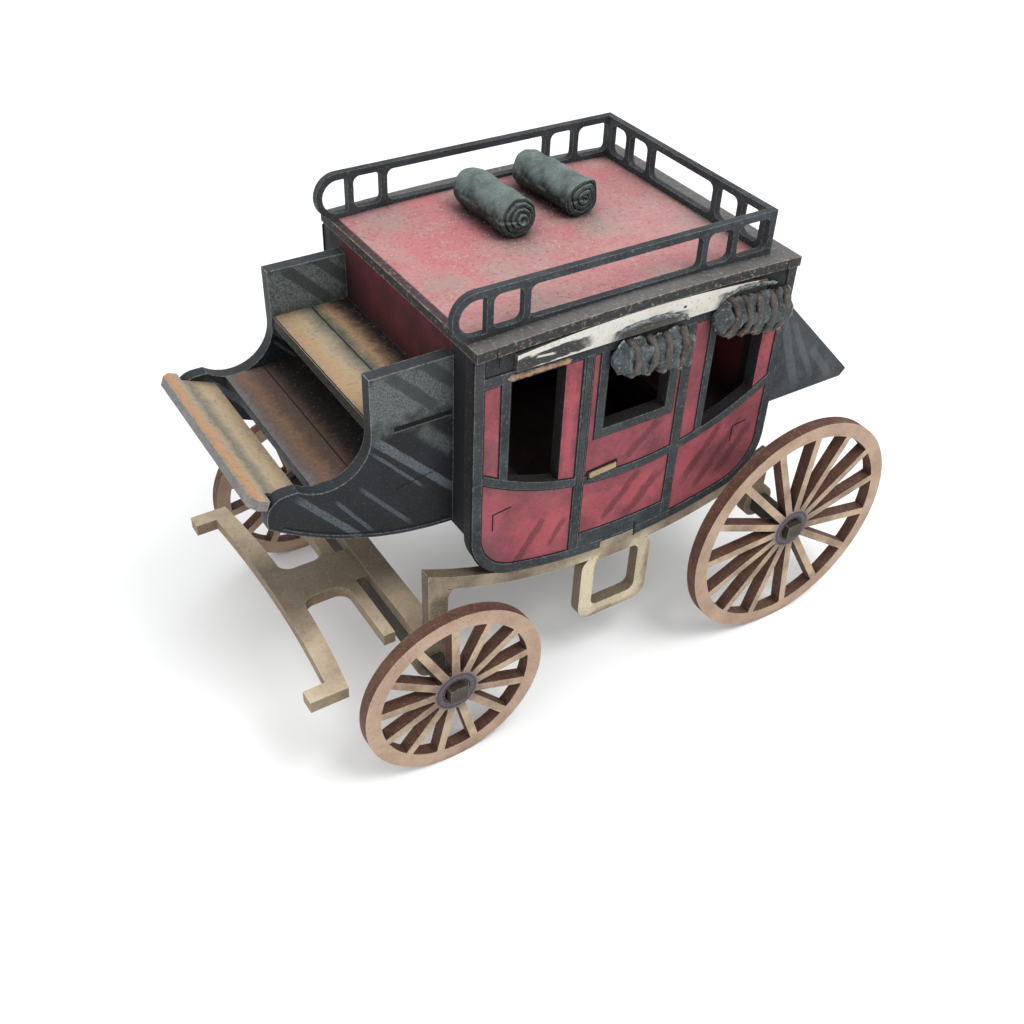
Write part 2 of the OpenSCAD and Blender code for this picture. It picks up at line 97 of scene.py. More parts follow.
def brushStroke(tree, coords, start, end, width, ragged=0.22, soft=0.3, dry=0.75):
    # one stroke of a brush on a side face, from start to end (x, z), ragged along its sides
    dx, dz = end[0] - start[0], end[1] - start[1]
    length = math.hypot(dx, dz)
    local = addNode(tree, "ShaderNodeMapping", {"vector_type": "TEXTURE"}, {
        "Vector": coords, "Location": ((start[0] + axleX) * mm, 0, start[1] * mm),
        "Rotation": (0, math.atan2(-dz, dx), 0), "Scale": (length * mm, mm, width / 2 * mm)})
    rough = addNode(tree, "ShaderNodeTexNoise", {}, {"Vector": coords, "Scale": 900.0, "Detail": 4.0})
    shift = addNode(tree, "ShaderNodeMapRange", {}, [rough, 0.3, 0.7, -ragged, ragged])
    axes = addNode(tree, "ShaderNodeSeparateXYZ", {}, [local])
    across = addNode(tree, "ShaderNodeMath", {"operation": "ADD"}, [axes.outputs[2], shift])
    alongShift = addNode(tree, "ShaderNodeMath", {"operation": "MULTIPLY_ADD"},
                         [shift, 0.25, axes])
    inside = smoothZone(tree, across.outputs[0], -1, 1, soft)
    along = smoothZone(tree, alongShift.outputs[0], 0, 1, 0.12)
    whole = addNode(tree, "ShaderNodeMath", {"operation": "MULTIPLY"}, [inside, along]).outputs[0]
    # a dry brush skips the hollows of the board
    skips = addNode(tree, "ShaderNodeTexNoise", {}, {"Vector": coords, "Scale": 6500.0, "Detail": 4.0,
                                                     "Roughness": 0.7})
    held = addNode(tree, "ShaderNodeMapRange", {}, [skips, 0.4, 0.56, 1.0 - dry, 1.0])
    return addNode(tree, "ShaderNodeMath", {"operation": "MULTIPLY"}, [whole, held]).outputs[0]


def agedPaint(name, look, layers=None):
    # Brushed acrylic paint on cut fibreboard: a patchy coat, dark wash and painted shade in the corners,
    # lighter dry-brushed edges, and the board's fine tooth. Scales are 1 / size in metres.
    material = bpy.data.materials.new(name)
    material.use_nodes = True
    tree = material.node_tree
    shader = tree.nodes["Principled BSDF"]
    texture = addNode(tree, "ShaderNodeTexCoord")
    coords = texture.outputs["Object"]
    patches = addNode(tree, "ShaderNodeTexNoise", {}, {"Vector": coords,
                                                       "Scale": look.get("patchScale", 260.0),
                                                       "Detail": 5.0, "Roughness": 0.6})
    patchMask = addNode(tree, "ShaderNodeMapRange", {}, [patches, 0.38, 0.66, 0.0,
                                                         look.get("patchAmount", 0.8)])
    color = addNode(tree, "ShaderNodeMix", {"data_type": "RGBA"},
                    {0: patchMask, 6: hexColor(look["base"]), 7: hexColor(look["patch"])}).outputs[2]
    if layers:
        color = layers(tree, texture, color)
    # the laser leaves the cut edges brown, and the paint on them stays darker
    if "cutEdge" in look:
        normal = addNode(tree, "ShaderNodeSeparateXYZ", {}, [texture.outputs["Normal"]])
        facing = addNode(tree, "ShaderNodeMath", {"operation": "ABSOLUTE"},
                         [normal.outputs[look.get("sheetAxis", 1)]])
        isEdge = addNode(tree, "ShaderNodeMapRange", {}, [facing, 0.4, 0.6,
                                                          look.get("cutAmount", 0.9), 0.0])
        scorch = addNode(tree, "ShaderNodeTexNoise", {}, {"Vector": coords, "Scale": 700.0, "Detail": 3.0})
        scorched = addNode(tree, "ShaderNodeMix", {"data_type": "RGBA"},
                           {0: scorch, 6: hexColor(look["cutEdge"]), 7: hexColor(look["cutPatch"])})
        color = addNode(tree, "ShaderNodeMix", {"data_type": "RGBA"},
                        {0: isEdge, 6: color, 7: scorched.outputs[2]}).outputs[2]
    # painted shade from ambient occlusion, mixed with the dark wash, gathers where pieces meet
    corner = addNode(tree, "ShaderNodeAmbientOcclusion", {"samples": 4},
                     {"Distance": look.get("washAndShadeReach", 1.6) * mm})
    washAndShade = addNode(tree, "ShaderNodeMapRange", {}, [corner.outputs["AO"], 0.35, 0.85,
                                                    look.get("washAndShade", 0.7), 0.0])
    color = addNode(tree, "ShaderNodeMix", {"data_type": "RGBA"},
                    {0: washAndShade, 6: color, 7: hexColor(look.get("washAndShadeColor", "#1B1715"))}).outputs[2]
    # dry brushing catches the edges, and stray grains of the face
    fine = addNode(tree, "ShaderNodeTexNoise", {}, {"Vector": coords, "Scale": look.get("grainScale", 3200.0),
                                                    "Detail": 6.0, "Roughness": 0.7})
    pits = addNode(tree, "ShaderNodeMapRange", {}, [fine, 0.45, 0.32, 0.0,
                                                    look.get("pitAmount", 0.45)])
    color = addNode(tree, "ShaderNodeMix", {"data_type": "RGBA"},
                    {0: pits, 6: color, 7: hexColor(look.get("washAndShadeColor", "#1B1715"))}).outputs[2]
    rounded = addNode(tree, "ShaderNodeBevel", {"samples": 4}, {"Radius": look.get("edgeWidth", 0.16) * mm})
    surface = addNode(tree, "ShaderNodeNewGeometry")
    bend = addNode(tree, "ShaderNodeVectorMath", {"operation": "DOT_PRODUCT"},
                   [rounded, surface.outputs["Normal"]])
    edge = addNode(tree, "ShaderNodeMapRange", {}, [bend.outputs["Value"], 0.99, 0.86, 0.0, 1.0])
    broken = addNode(tree, "ShaderNodeMapRange", {}, [fine, 0.36, 0.6, 0.0,
                                                      look.get("edgeAmount", 0.75)])
    worn = addNode(tree, "ShaderNodeMath", {"operation": "MULTIPLY"}, [edge, broken])
    grains = addNode(tree, "ShaderNodeMapRange", {}, [fine, 0.56, 0.74, 0.0,
                                                      look.get("grainAmount", 0.35)])
    bare = addNode(tree, "ShaderNodeMath", {"operation": "MAXIMUM"}, [worn, grains])
    color = addNode(tree, "ShaderNodeMix", {"data_type": "RGBA"},
                    {0: bare, 6: color, 7: hexColor(look["dryBrush"])}).outputs[2]
    tree.links.new(color, shader.inputs["Base Color"])
    sheen = addNode(tree, "ShaderNodeMapRange", {}, [patches, 0.3, 0.7,
                                                     look.get("roughness", 0.8) - 0.1,
                                                     look.get("roughness", 0.8) + 0.08])
    tree.links.new(sheen.outputs[0], shader.inputs["Roughness"])
    shader.inputs["IOR"].default_value = 1.46
    shader.inputs["Specular IOR Level"].default_value = 0.35
    relief = addNode(tree, "ShaderNodeBump", {}, {"Strength": look.get("bump", 0.5), "Distance": 0.00008,
                                                  "Height": fine.outputs[0]})
    tree.links.new(relief.outputs[0], shader.inputs["Normal"])
    return material


def give(node, material):
    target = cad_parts[node]
    if not target.material_slots:
        target.data.materials.append(material)
    for slot in target.material_slots:
        slot.material = material


def strokes(tree, texture, color, rows, **brush):
    # each row: start, end, width, colour, strength
    for start, end, width, tone, strength in rows:
        mask = brushStroke(tree, texture.outputs["Object"], start, end, width, **brush)
        amount = addNode(tree, "ShaderNodeMath", {"operation": "MULTIPLY"}, [mask, strength])
        color = addNode(tree, "ShaderNodeMix", {"data_type": "RGBA"},
                        {0: amount, 6: color, 7: hexColor(tone)}).outputs[2]
    return color


def objectAxis(tree, texture, axis):
    return addNode(tree, "ShaderNodeSeparateXYZ", {}, [texture.outputs["Object"]]).outputs[axis]


# ---- coach paint

sidePaint = {"base": "#90464E", "patch": "#5C3037", "patchScale": 230.0, "patchAmount": 0.8,
             "dryBrush": "#A87A7C", "grainAmount": 0.3, "edgeAmount": 0.3, "roughness": 0.72,
             "cutEdge": "#1E2022", "cutPatch": "#141516", "cutAmount": 1.0, "bandLow": 45.2,
             "bandColor": "#24272A", "streak": "#4A2229", "blush": "#AC4C54", "dusk": "#5E4349",
             "washAndShadeReach": 2.2, "washAndShade": 0.85, "pitAmount": 0.4}
sideStrokes = [((-10.6, 21.2), (-14.0, 26.2), 1.0, "streak", 0.8),
               ((-14.6, 21.6), (-16.6, 24.8), 0.8, "streak", 0.8),
               ((-21.8, 22.4), (-26.6, 27.8), 1.0, "streak", 0.8),
               ((-25.0, 21.6), (-29.6, 26.6), 1.3, "streak", 0.8),
               ((-24.2, 30.2), (-28.8, 34.2), 1.2, "streak", 0.8),
               ((-33.2, 23.4), (-38.2, 30.4), 1.1, "streak", 0.8),
               ((-35.6, 22.2), (-40.8, 29.6), 1.0, "streak", 0.8),
               ((-38.6, 22.8), (-42.6, 28.4), 1.0, "streak", 0.8),
               ((-6.6, 26.4), (-7.4, 21.0), 2.6, "dusk", 0.55),
               ((-6.0, 33.2), (-16.6, 28.6), 1.6, "dusk", 0.5),
               ((-6.9, 39.0), (-6.9, 35.0), 1.4, "dusk", 0.5),
               ((-10.2, 24.2), (-16.6, 24.2), 4.4, "blush", 0.6),
               ((-19.6, 24.6), (-29.6, 25.0), 3.6, "blush", 0.5),
               ((-32.6, 24.4), (-35.0, 31.0), 1.8, "blush", 0.4),
               ((-16.3, 44.0), (-16.3, 31.0), 1.0, "blush", 0.6),
               ((-43.1, 45.0), (-43.1, 37.0), 1.3, "blush", 0.5)]


def sideLayers(tree, texture, color):
    rows = [(a, b, w, sidePaint[tone], k) for a, b, w, tone, k in reversed(sideStrokes)]
    color = strokes(tree, texture, color, rows, ragged=0.35, soft=0.4, dry=0.5)
    height = objectAxis(tree, texture, 2)
    band = smoothZone(tree, height, sidePaint["bandLow"] * mm, 0.2, 0.05 * mm)
    return addNode(tree, "ShaderNodeMix", {"data_type": "RGBA"},
                   {0: band, 6: color, 7: hexColor(sidePaint["bandColor"])}).outputs[2]


# matt acrylic over cut fibreboard: dusty crimson panels with darker slanting brush marks
crimsonBoard = agedPaint("crimson_acrylic_on_fibreboard", sidePaint, sideLayers)

# charcoal acrylic, dry brushed with light grey: mouldings, rails and cornice
charcoalLook = {"base": "#34383B", "patch": "#202326", "dryBrush": "#8C908F", "grainAmount": 0.42,
                "edgeAmount": 0.75, "edgeWidth": 0.12, "roughness": 0.76, "washAndShade": 0.6, "bump": 0.5}
charcoalPaint = agedPaint("charcoal_acrylic_dry_brushed", charcoalLook)

# the laser's engraved line: burnt black, no gloss
engraving = agedPaint("burnt_laser_engraving", {"base": "#0F0D0C", "patch": "#070606", "dryBrush": "#2B2622",
                                                "grainAmount": 0.2, "edgeAmount": 0.2, "roughness": 0.9})

roofPaint = {"base": "#AE8180", "patch": "#9E8680", "patchScale": 150.0, "patchAmount": 0.9,
             "dryBrush": "#D2B4A6", "grainAmount": 0.5, "grainScale": 2300.0, "edgeAmount": 0.6,
             "pitAmount": 0.5, "edgeWidth": 0.2, "roughness": 0.78, "cutEdge": "#323334",
             "cutPatch": "#222324", "cutAmount": 1.0, "sheetAxis": 2, "dust": "#8D857C",
             "ledge": "#5F5E5D", "frontBand": "#3E3031", "washAndShade": 0.95, "washAndShadeReach": 2.4,
             "rose": "#B2646A"}


def roofLayers(tree, texture, color):
    axes = addNode(tree, "ShaderNodeSeparateXYZ", {}, [texture.outputs["Object"]])
    across = addNode(tree, "ShaderNodeMath", {"operation": "ABSOLUTE"}, [axes.outputs[1]])
    # rose where the coat is thick: large soft clouds
    clouds = addNode(tree, "ShaderNodeTexNoise", {}, {"Vector": texture.outputs["Object"], "Scale": 110.0,
                                                      "Detail": 7.0, "Roughness": 0.62})
    thick = addNode(tree, "ShaderNodeMapRange", {}, [clouds, 0.44, 0.62, 0.0, 0.75])
    color = addNode(tree, "ShaderNodeMix", {"data_type": "RGBA"},
                    {0: thick, 6: color, 7: hexColor(roofPaint["rose"])}).outputs[2]
    # dust lies round the bedrolls' near ends and along the rails
    for x, y, reach in ((-19.6, 1.6, 3.6), (-28.4, 1.4, 3.4), (-10.5, -11.0, 5.5), (-40.0, -6.0, 5.5),
                        (-30.5, 13.0, 5.5), (-8.0, 4.0, 3.6), (-15.0, 12.5, 3.4), (-24.5, -5.0, 3.8)):
        spot = addNode(tree, "ShaderNodeVectorMath", {"operation": "DISTANCE"},
                       [texture.outputs["Object"], tuple(place(x, y, roofTop))])
        ring = addNode(tree, "ShaderNodeMapRange", {"interpolation_type": "SMOOTHSTEP"},
                       [spot.outputs["Value"], 0.2 * reach * mm, reach * mm, 0.9, 0.0])
        settled = addNode(tree, "ShaderNodeMapRange", {}, [clouds, 0.3, 0.6, 1.0, 0.35])
        ring = addNode(tree, "ShaderNodeMath", {"operation": "MULTIPLY"}, [ring, settled])
        color = addNode(tree, "ShaderNodeMix", {"data_type": "RGBA"},
                        {0: ring, 6: color, 7: hexColor(roofPaint["dust"])}).outputs[2]
    front = smoothZone(tree, axes.outputs[0], (axleX + bodyFront - 0.9) * mm, 1.0, 0.12 * mm)
    color = addNode(tree, "ShaderNodeMix", {"data_type": "RGBA"},
                    {0: front, 6: color, 7: hexColor(roofPaint["frontBand"])}).outputs[2]
    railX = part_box("rail_rear")[1][0]
    behind = smoothZone(tree, axes.outputs[0], -1.0, railX, 0.15 * mm)
    beside = smoothZone(tree, across.outputs[0], 14.5 * mm, 1.0, 0.3 * mm)
    ledge = addNode(tree, "ShaderNodeMath", {"operation": "MAXIMUM"}, [behind, beside]).outputs[0]
    return addNode(tree, "ShaderNodeMix", {"data_type": "RGBA"},
                   {0: ledge, 6: color, 7: hexColor(roofPaint["ledge"])}).outputs[2]


# the same crimson on the roof, faded pink by dust and sand
roofBoard = agedPaint("dusty_crimson_acrylic_roof", roofPaint, roofLayers)

boxPaint = {"base": "#15191E", "patch": "#101316", "dryBrush": "#8E9290", "grainAmount": 0.2,
            "edgeAmount": 1.0, "edgeWidth": 0.2, "roughness": 0.62, "washAndShade": 0.6, "bump": 0.6,
            "cutEdge": "#1C2024", "cutPatch": "#2A2E31", "streak": "#5C6369", "stipple": "#6C7270",
            "dark": "#14181C"}
boxStrokes = [((4.1, 40.3), (-4.9, 31.0), 0.95, "streak", 0.95),
              ((4.3, 38.8), (-0.9, 33.0), 0.35, "streak", 0.7),
              ((12.4, 36.4), (6.2, 29.2), 0.75, "streak", 0.7),
              ((8.4, 34.4), (5.0, 29.6), 0.4, "streak", 0.6),
              ((5.6, 34.8), (0.6, 28.8), 0.45, "streak", 0.6),
              ((2.6, 47.4), (-2.6, 42.2), 1.2, "dark", 0.75),
              ((-1.2, 47.6), (-4.8, 44.2), 1.3, "dark", 0.7),
              ((-1.0, 40.0), (-4.6, 36.4), 1.5, "stipple", 0.5),
              ((5.4, 44.7), (-5.6, 44.7), 6.6, "stipple", 0.75)]


def boxLayers(tree, texture, color):
    rows = [(a, b, w, boxPaint[tone], k, tone) for a, b, w, tone, k in reversed(boxStrokes)]
    color = strokes(tree, texture, color, [r[:5] for r in rows if r[5] == "stipple"], ragged=0.3,
                    soft=0.5, dry=0.7)
    return strokes(tree, texture, color, [r[:5] for r in rows if r[5] != "stipple"], ragged=0.12,
                   soft=0.18, dry=0.7)


# near-black blue acrylic with grey streaks dragged down the driver's box
boxBoard = agedPaint("blue_black_acrylic_streaked", boxPaint, boxLayers)


def rampAlong(tree, texture, start, direction, length, stops, wobble=0.8):
    # colour bands across a plank: stops are (distance in mm from start, hex)
    waves = addNode(tree, "ShaderNodeTexNoise", {}, {"Vector": texture.outputs["Object"], "Scale": 380.0,
                                                     "Detail": 9.0, "Roughness": 0.72})
    shift = addNode(tree, "ShaderNodeMapRange", {}, [waves, 0.25, 0.75,
                                                     -wobble / length, wobble / length])
    offset = addNode(tree, "ShaderNodeVectorMath", {"operation": "SUBTRACT"},
                     [texture.outputs["Object"], tuple(start)])
    reach = addNode(tree, "ShaderNodeVectorMath", {"operation": "DOT_PRODUCT"},
                    [offset, tuple(direction / (length * mm))])
    where = addNode(tree, "ShaderNodeMath", {"operation": "ADD"}, [reach.outputs["Value"], shift])
    ramp = addNode(tree, "ShaderNodeValToRGB", {}, [where])
    band = ramp.color_ramp
    while len(band.elements) < len(stops):
        band.elements.new(0.5)
    for element, (at, tone) in zip(band.elements, stops):
        element.position = at / length
        element.color = hexColor(tone)
    return ramp.outputs[0]


plankLook = {"base": "#B89468", "patch": "#A5885F", "dryBrush": "#C2B6A0", "grainAmount": 0.35,
             "edgeAmount": 0.45, "grainScale": 2400.0, "edgeWidth": 0.12, "roughness": 0.74,
             "cutEdge": "#1F1D1B", "cutPatch": "#302D2A", "cutAmount": 1.0, "sheetAxis": 2, "washAndShade": 0.9,
             "washAndShadeReach": 3.2, "washAndShadeColor": "#12100F"}
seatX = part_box("driver_seat")[1][0] / mm - axleX
# the bands darken to near black by the wall: airbrushed dark and painted shade in the corner
seatStops = [(0.0, "#8E8270"), (0.9, "#A88A68"), (2.6, "#A6957A"), (3.9, "#7A7464"), (4.6, "#52534A"),
             (5.2, "#6E6858"), (6.0, "#9E8060"), (7.0, "#64503F"), (8.2, "#261D1A"), (8.9, "#100D0C")]
seatBoard = agedPaint("tan_acrylic_seat_plank", plankLook, lambda tree, texture, color: rampAlong(
    tree, texture, place(seatX, 0, 0), Vector((-1, 0, 0)), 8.95, seatStops))

floorLook = dict(plankLook, base="#6A574A", patch="#59483E", dryBrush="#9A8C7C", cutEdge="#4C4F57",
                 cutPatch="#3A3C42")
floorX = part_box("footwell_floor")[1][0] / mm - axleX
# the bands darken to near black towards the back: painted shade under the seat
floorStops = [(0.0, "#5E5A5C"), (0.8, "#5A4C44"), (2.0, "#6A503E"), (3.2, "#4C3D36"), (4.4, "#4E3C31"),
              (5.6, "#261D1A"), (7.2, "#110E0D"), (15.0, "#0B0909")]
floorBoard = agedPaint("umber_acrylic_floor_plank", floorLook, lambda tree, texture, color: rampAlong(
    tree, texture, place(floorX, 0, 0), Vector((-1, 0, 0)), 15.0, floorStops))

footHigh = Vector(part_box("footboard")[1])
footTilt = math.radians(22)
footStops = [(0.0, "#54483C"), (0.25, "#8E7E6C"), (1.1, "#B38863"), (1.9, "#A08F78"), (2.6, "#757063"),
             (3.1, "#857D6B"), (3.9, "#A8977C"), (4.9, "#A28E72"), (5.6, "#8A7A62")]
footLook = dict(plankLook, cutEdge="#85817F", cutPatch="#625F5E", sheetAxis=2, grainAmount=0.45)
footBoard = agedPaint("tan_acrylic_footboard", footLook, lambda tree, texture, color: rampAlong(
    tree, texture, Vector((footHigh.x, 0, footHigh.z)), Vector((-math.cos(footTilt), 0, -math.sin(footTilt))),
    5.6, footStops, wobble=0.5))

# undercarriage: pale tan acrylic dirtied with umber
chassisLook = {"base": "#A0927B", "patch": "#645A4F", "patchScale": 180.0, "patchAmount": 0.9,
               "dryBrush": "#CFC2A4", "grainAmount": 0.3, "edgeAmount": 0.65, "roughness": 0.82,
               "cutEdge": "#6A5E4A", "cutPatch": "#463D33", "cutAmount": 0.85, "washAndShade": 0.8,
               "washAndShadeReach": 2.0, "washAndShadeColor": "#2A211B"}


def chassisStrokesAndShade(tree, texture, color):
    # darker strokes down the front legs, painted shade under the body, and pale strokes lower on the sides
    rows = [((-1.6, 20.4), (-1.2, 14.0), 3.4, "#2B2926", 0.75),
            ((-12.0, 21.0), (-2.2, 23.4), 2.2, "#6F6852", 0.6),
            ((-20.6, 17.0), (-20.6, 8.0), 2.6, "#DCCFB2", 0.85),
            ((-20.6, 8.9), (-28.4, 8.9), 2.6, "#D6C9AD", 0.75),
            ((-28.0, 8.0), (-28.0, 17.0), 2.6, "#D6C9AD", 0.7)]
    return strokes(tree, texture, color, rows)


chassisBoard = agedPaint("dirty_tan_acrylic_chassis", chassisLook, chassisStrokesAndShade)


def barDirtAndShade(tree, texture, color):
    # umber dirt and painted shade at the middle of the coach, paler towards the ends of the bars
    across = addNode(tree, "ShaderNodeMath", {"operation": "ABSOLUTE"}, [objectAxis(tree, texture, 1)])
    dirtAndShade = addNode(tree, "ShaderNodeMapRange", {}, [across, 3 * mm, 11 * mm, 0.75, 0.0])
    return addNode(tree, "ShaderNodeMix", {"data_type": "RGBA"},
                   {0: dirtAndShade, 6: color, 7: hexColor("#5A4F45")}).outputs[2]


flatBoard = agedPaint("dirty_tan_acrylic_bars", dict(chassisLook, sheetAxis=2, base="#CBB99E",
                                                     patch="#A08E78", cutEdge="#8A7A64",
                                                     cutPatch="#625344", washAndShade=0.6), barDirtAndShade)
beamBoard = agedPaint("umber_washed_axle_beam", dict(chassisLook, base="#4E4840", patch="#2E2A27",
                                                     cutEdge="#3A3530", cutPatch="#262220",
                                                     dryBrush="#A99A7C"))

bootLook = {"base": "#44484B", "patch": "#2A2D30", "dryBrush": "#7D807F", "grainAmount": 0.35,
            "edgeAmount": 0.5, "roughness": 0.8, "cutEdge": "#2B2D2F", "cutPatch": "#222426", "washAndShade": 0.6}
bootStrokes = [((bodyBack - 1.0, 43.0), (bodyBack - 6.0, 30.5), 1.2, "#6C6F70", 0.5),
               ((bodyBack - 4.0, 39.0), (bodyBack - 8.5, 31.0), 0.8, "#666A6A", 0.5),
               ((bodyBack - 8.0, 34.5), (bodyBack - 12.0, 29.6), 1.0, "#6C6F70", 0.45)]
# slate grey acrylic standing for the leather boot, streaked downwards
bootBoard = agedPaint("slate_acrylic_boot", bootLook, lambda tree, texture, color: strokes(
    tree, texture, color, bootStrokes))

boardLook = {"base": "#C8C6BF", "patch": "#B9B4A6", "dryBrush": "#E2DFD6", "grainAmount": 0.2,
             "edgeAmount": 0.2, "roughness": 0.7, "cutEdge": "#3A3533", "cutPatch": "#4A4440",
             "washAndShade": 0.5, "washAndShadeReach": 0.7}
boardStrokes = [((-9.6, 47.05), (-17.4, 47.5), 1.3, "#2E2E2E", 1.0),
                ((-11.2, 47.5), (-15.8, 47.75), 0.9, "#2E2E2E", 1.0),
                ((-20.6, 46.7), (-29.6, 46.9), 1.5, "#3A3834", 0.97),
                ((-21.6, 47.4), (-27.8, 47.6), 0.8, "#3F3C37", 0.95),
                ((-34.4, 47.1), (-41.6, 47.5), 2.1, "#2F2E2B", 0.97),
                ((-8.6, 46.5), (-10.8, 47.0), 2.2, "#2C2C2B", 0.97),
                ((-29.2, 48.05), (-29.6, 47.95), 0.28, "#2A2624", 1.0),
                ((-11.4, 47.5), (-13.4, 47.35), 0.25, "#CFCABC", 0.8)]
# cream acrylic strip, overpainted in black-brown where the curtains' glue was covered
creamBoard = agedPaint("cream_acrylic_letterboard", boardLook, lambda tree, texture, color: strokes(
    tree, texture, color, boardStrokes, ragged=0.22, soft=0.12, dry=0.02))

wallLook = {"base": "#50191F", "patch": "#341216", "dryBrush": "#6E4040", "grainAmount": 0.1,
            "edgeAmount": 0.4, "roughness": 0.78, "washAndShade": 0.95, "washAndShadeReach": 5.5, "washAndShadeColor": "#0A0809",
            "outside": "#14171C"}


def wallLayers(tree, texture, color):
    # beside the driver's box the wall is blue-black
    across = addNode(tree, "ShaderNodeMath", {"operation": "ABSOLUTE"}, [objectAxis(tree, texture, 1)])
    beside = smoothZone(tree, across.outputs[0], (boxY - 0.3) * mm, 1.0, 0.2 * mm)
    return addNode(tree, "ShaderNodeMix", {"data_type": "RGBA"},
                   {0: beside, 6: color, 7: hexColor(wallLook["outside"])}).outputs[2]


# maroon end walls, darkened to black towards the seat by painted shade
maroonBoard = agedPaint("maroon_acrylic_end_wall", wallLook, wallLayers)
innerBoard = agedPaint("umber_wash_inside", {"base": "#2E211E", "patch": "#1C1513", "dryBrush": "#54423A",
                                             "grainAmount": 0.2, "edgeAmount": 0.4, "roughness": 0.85,
                                             "washAndShade": 0.8})

wheelLook = {"base": "#B09A82", "patch": "#756152", "patchScale": 260.0, "patchAmount": 0.85,
             "dryBrush": "#D2C3AE", "grainAmount": 0.25, "edgeAmount": 0.6, "edgeWidth": 0.12,
             "roughness": 0.8, "cutEdge": "#3A221E", "cutPatch": "#6E4E3E", "cutAmount": 1.0, "washAndShade": 0.7,
             "washAndShadeReach": 1.1, "washAndShadeColor": "#231713", "hub": "#544E54", "hubDark": "#1E1B20",
             "rim": "#A88C7A", "smudge": "#6A5A54"}


def wheelMaterial(node):
    # tan acrylic on a laser-cut wheel: brown scorched cuts, a grey-violet hub with soot round it
    centre = centreOf(node)

    def hubLayers(tree, texture, color):
        flat = addNode(tree, "ShaderNodeVectorMath", {"operation": "MULTIPLY_ADD"},
                       [texture.outputs["Object"], (1, 0, 1), (-centre.x, 0, -centre.z)])
        out = addNode(tree, "ShaderNodeVectorMath", {"operation": "LENGTH"}, [flat]).outputs["Value"]
        radius = (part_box(node)[1][2] - centre.z) / mm
        for low, high, soft, tone, strength in ((radius - 1.9, 99, 0.15, "rim", 0.55),
                                                (-9, 3.4, 1.3, "smudge", 0.75),
                                                (-9, 2.6, 0.16, "hub", 0.95),
                                                (1.45, 1.72, 0.12, "hubDark", 0.9),
                                                (2.28, 2.42, 0.05, "hubDark", 0.6)):
            zone = smoothZone(tree, out, low * mm, high * mm, soft * mm)
            amount = addNode(tree, "ShaderNodeMath", {"operation": "MULTIPLY"}, [zone, strength])
            color = addNode(tree, "ShaderNodeMix", {"data_type": "RGBA"},
                            {0: amount, 6: color, 7: hexColor(wheelLook[tone])}).outputs[2]
        return color
    return agedPaint("tan_acrylic_" + node, wheelLook, hubLayers)


puttyLook = {"base": "#667370", "patch": "#46524F", "patchScale": 420.0, "dryBrush": "#86A096",
             "grainAmount": 0.3, "edgeAmount": 0.45, "edgeWidth": 0.18, "roughness": 0.7, "washAndShade": 0.95,
             "washAndShadeReach": 2.2, "washAndShadeColor": "#0E1111", "bump": 0.4}


def paintedUnderShade(tree, texture, color):
    # painted shade: what faces sideways and down is darkened to near black
    normal = addNode(tree, "ShaderNodeSeparateXYZ", {}, [texture.outputs["Normal"]])
    shade = addNode(tree, "ShaderNodeMapRange", {}, [normal.outputs[2], -0.1, 0.75, 0.92, 0.0])
    return addNode(tree, "ShaderNodeMix", {"data_type": "RGBA"},
                   {0: shade, 6: color, 7: hexColor("#15191A")}).outputs[2]


# grey-green acrylic on two-part epoxy putty, for the canvas bedrolls, with painted shade on their sides and
# undersides
bedrollPutty = agedPaint("grey_green_acrylic_on_putty", dict(puttyLook, dryBrush="#A3B3AE",
                                                             grainAmount=0.4), paintedUnderShade)
# charcoal-green for the leather curtains, with tan worn straps
curtainPutty = agedPaint("charcoal_acrylic_on_putty", dict(puttyLook, base="#474E50", patch="#202425",
                                                           grainAmount=0.7, edgeWidth=0.34,
                                                           dryBrush="#A9ADA8", washAndShadeReach=1.1,
                                                           edgeAmount=1.0))
strapPutty = agedPaint("worn_tan_acrylic_strap", dict(puttyLook, base="#524D49", patch="#2C2A29",
                                                      dryBrush="#BDA592", washAndShadeReach=0.9, edgeAmount=0.95,
                                                      edgeWidth=0.24, grainAmount=0.45))
bareBoard = agedPaint("bare_torn_fibreboard", {"base": "#9A8068", "patch": "#6E5138", "patchScale": 900.0,
                                               "dryBrush": "#CDB08C", "grainAmount": 0.7,
                                               "edgeAmount": 0.4, "roughness": 0.9, "bump": 0.9})
handlePaint = agedPaint("tan_acrylic_handle", {"base": "#A08A6A", "patch": "#877358", "dryBrush": "#CBB998",
                        "grainAmount": 0.4, "edgeAmount": 0.7, "roughness": 0.7})
print("materials ready")

for node, material in (("body_side_left", crimsonBoard), ("body_side_right", crimsonBoard),
                       ("roof_panel", roofBoard), ("box_side_left", boxBoard),
                       ("box_side_right", boxBoard), ("driver_seat", seatBoard),
                       ("footwell_floor", floorBoard), ("footboard", footBoard),
                       ("chassis_side_left", chassisBoard), ("chassis_side_right", chassisBoard),
                       ("front_axle", beamBoard), ("rear_axle", beamBoard), ("splinter_bar", flatBoard),
                       ("front_cross_plate", flatBoard), ("rear_cross_plate", flatBoard),
                       ("boot_side_left", bootBoard), ("boot_side_right", bootBoard),
                       ("boot_cover", bootBoard), ("boot_floor", bootBoard),
                       ("letterboard_left", creamBoard), ("letterboard_right", creamBoard),
                       ("rail_left", charcoalPaint), ("rail_right", charcoalPaint),
                       ("rail_rear", charcoalPaint), ("front_wall", maroonBoard),
                       ("rear_wall", maroonBoard), ("body_floor", innerBoard),
                       ("toe_board_front", innerBoard), ("toe_board_rear", innerBoard),
                       ("bench_front", innerBoard), ("bench_rear", innerBoard)):
    give(node, material)
for node in ("wheel_front_left", "wheel_front_right", "wheel_rear_left", "wheel_rear_right"):
    give(node, wheelMaterial(node))
print("CAD nodes painted")


# ---- pieces

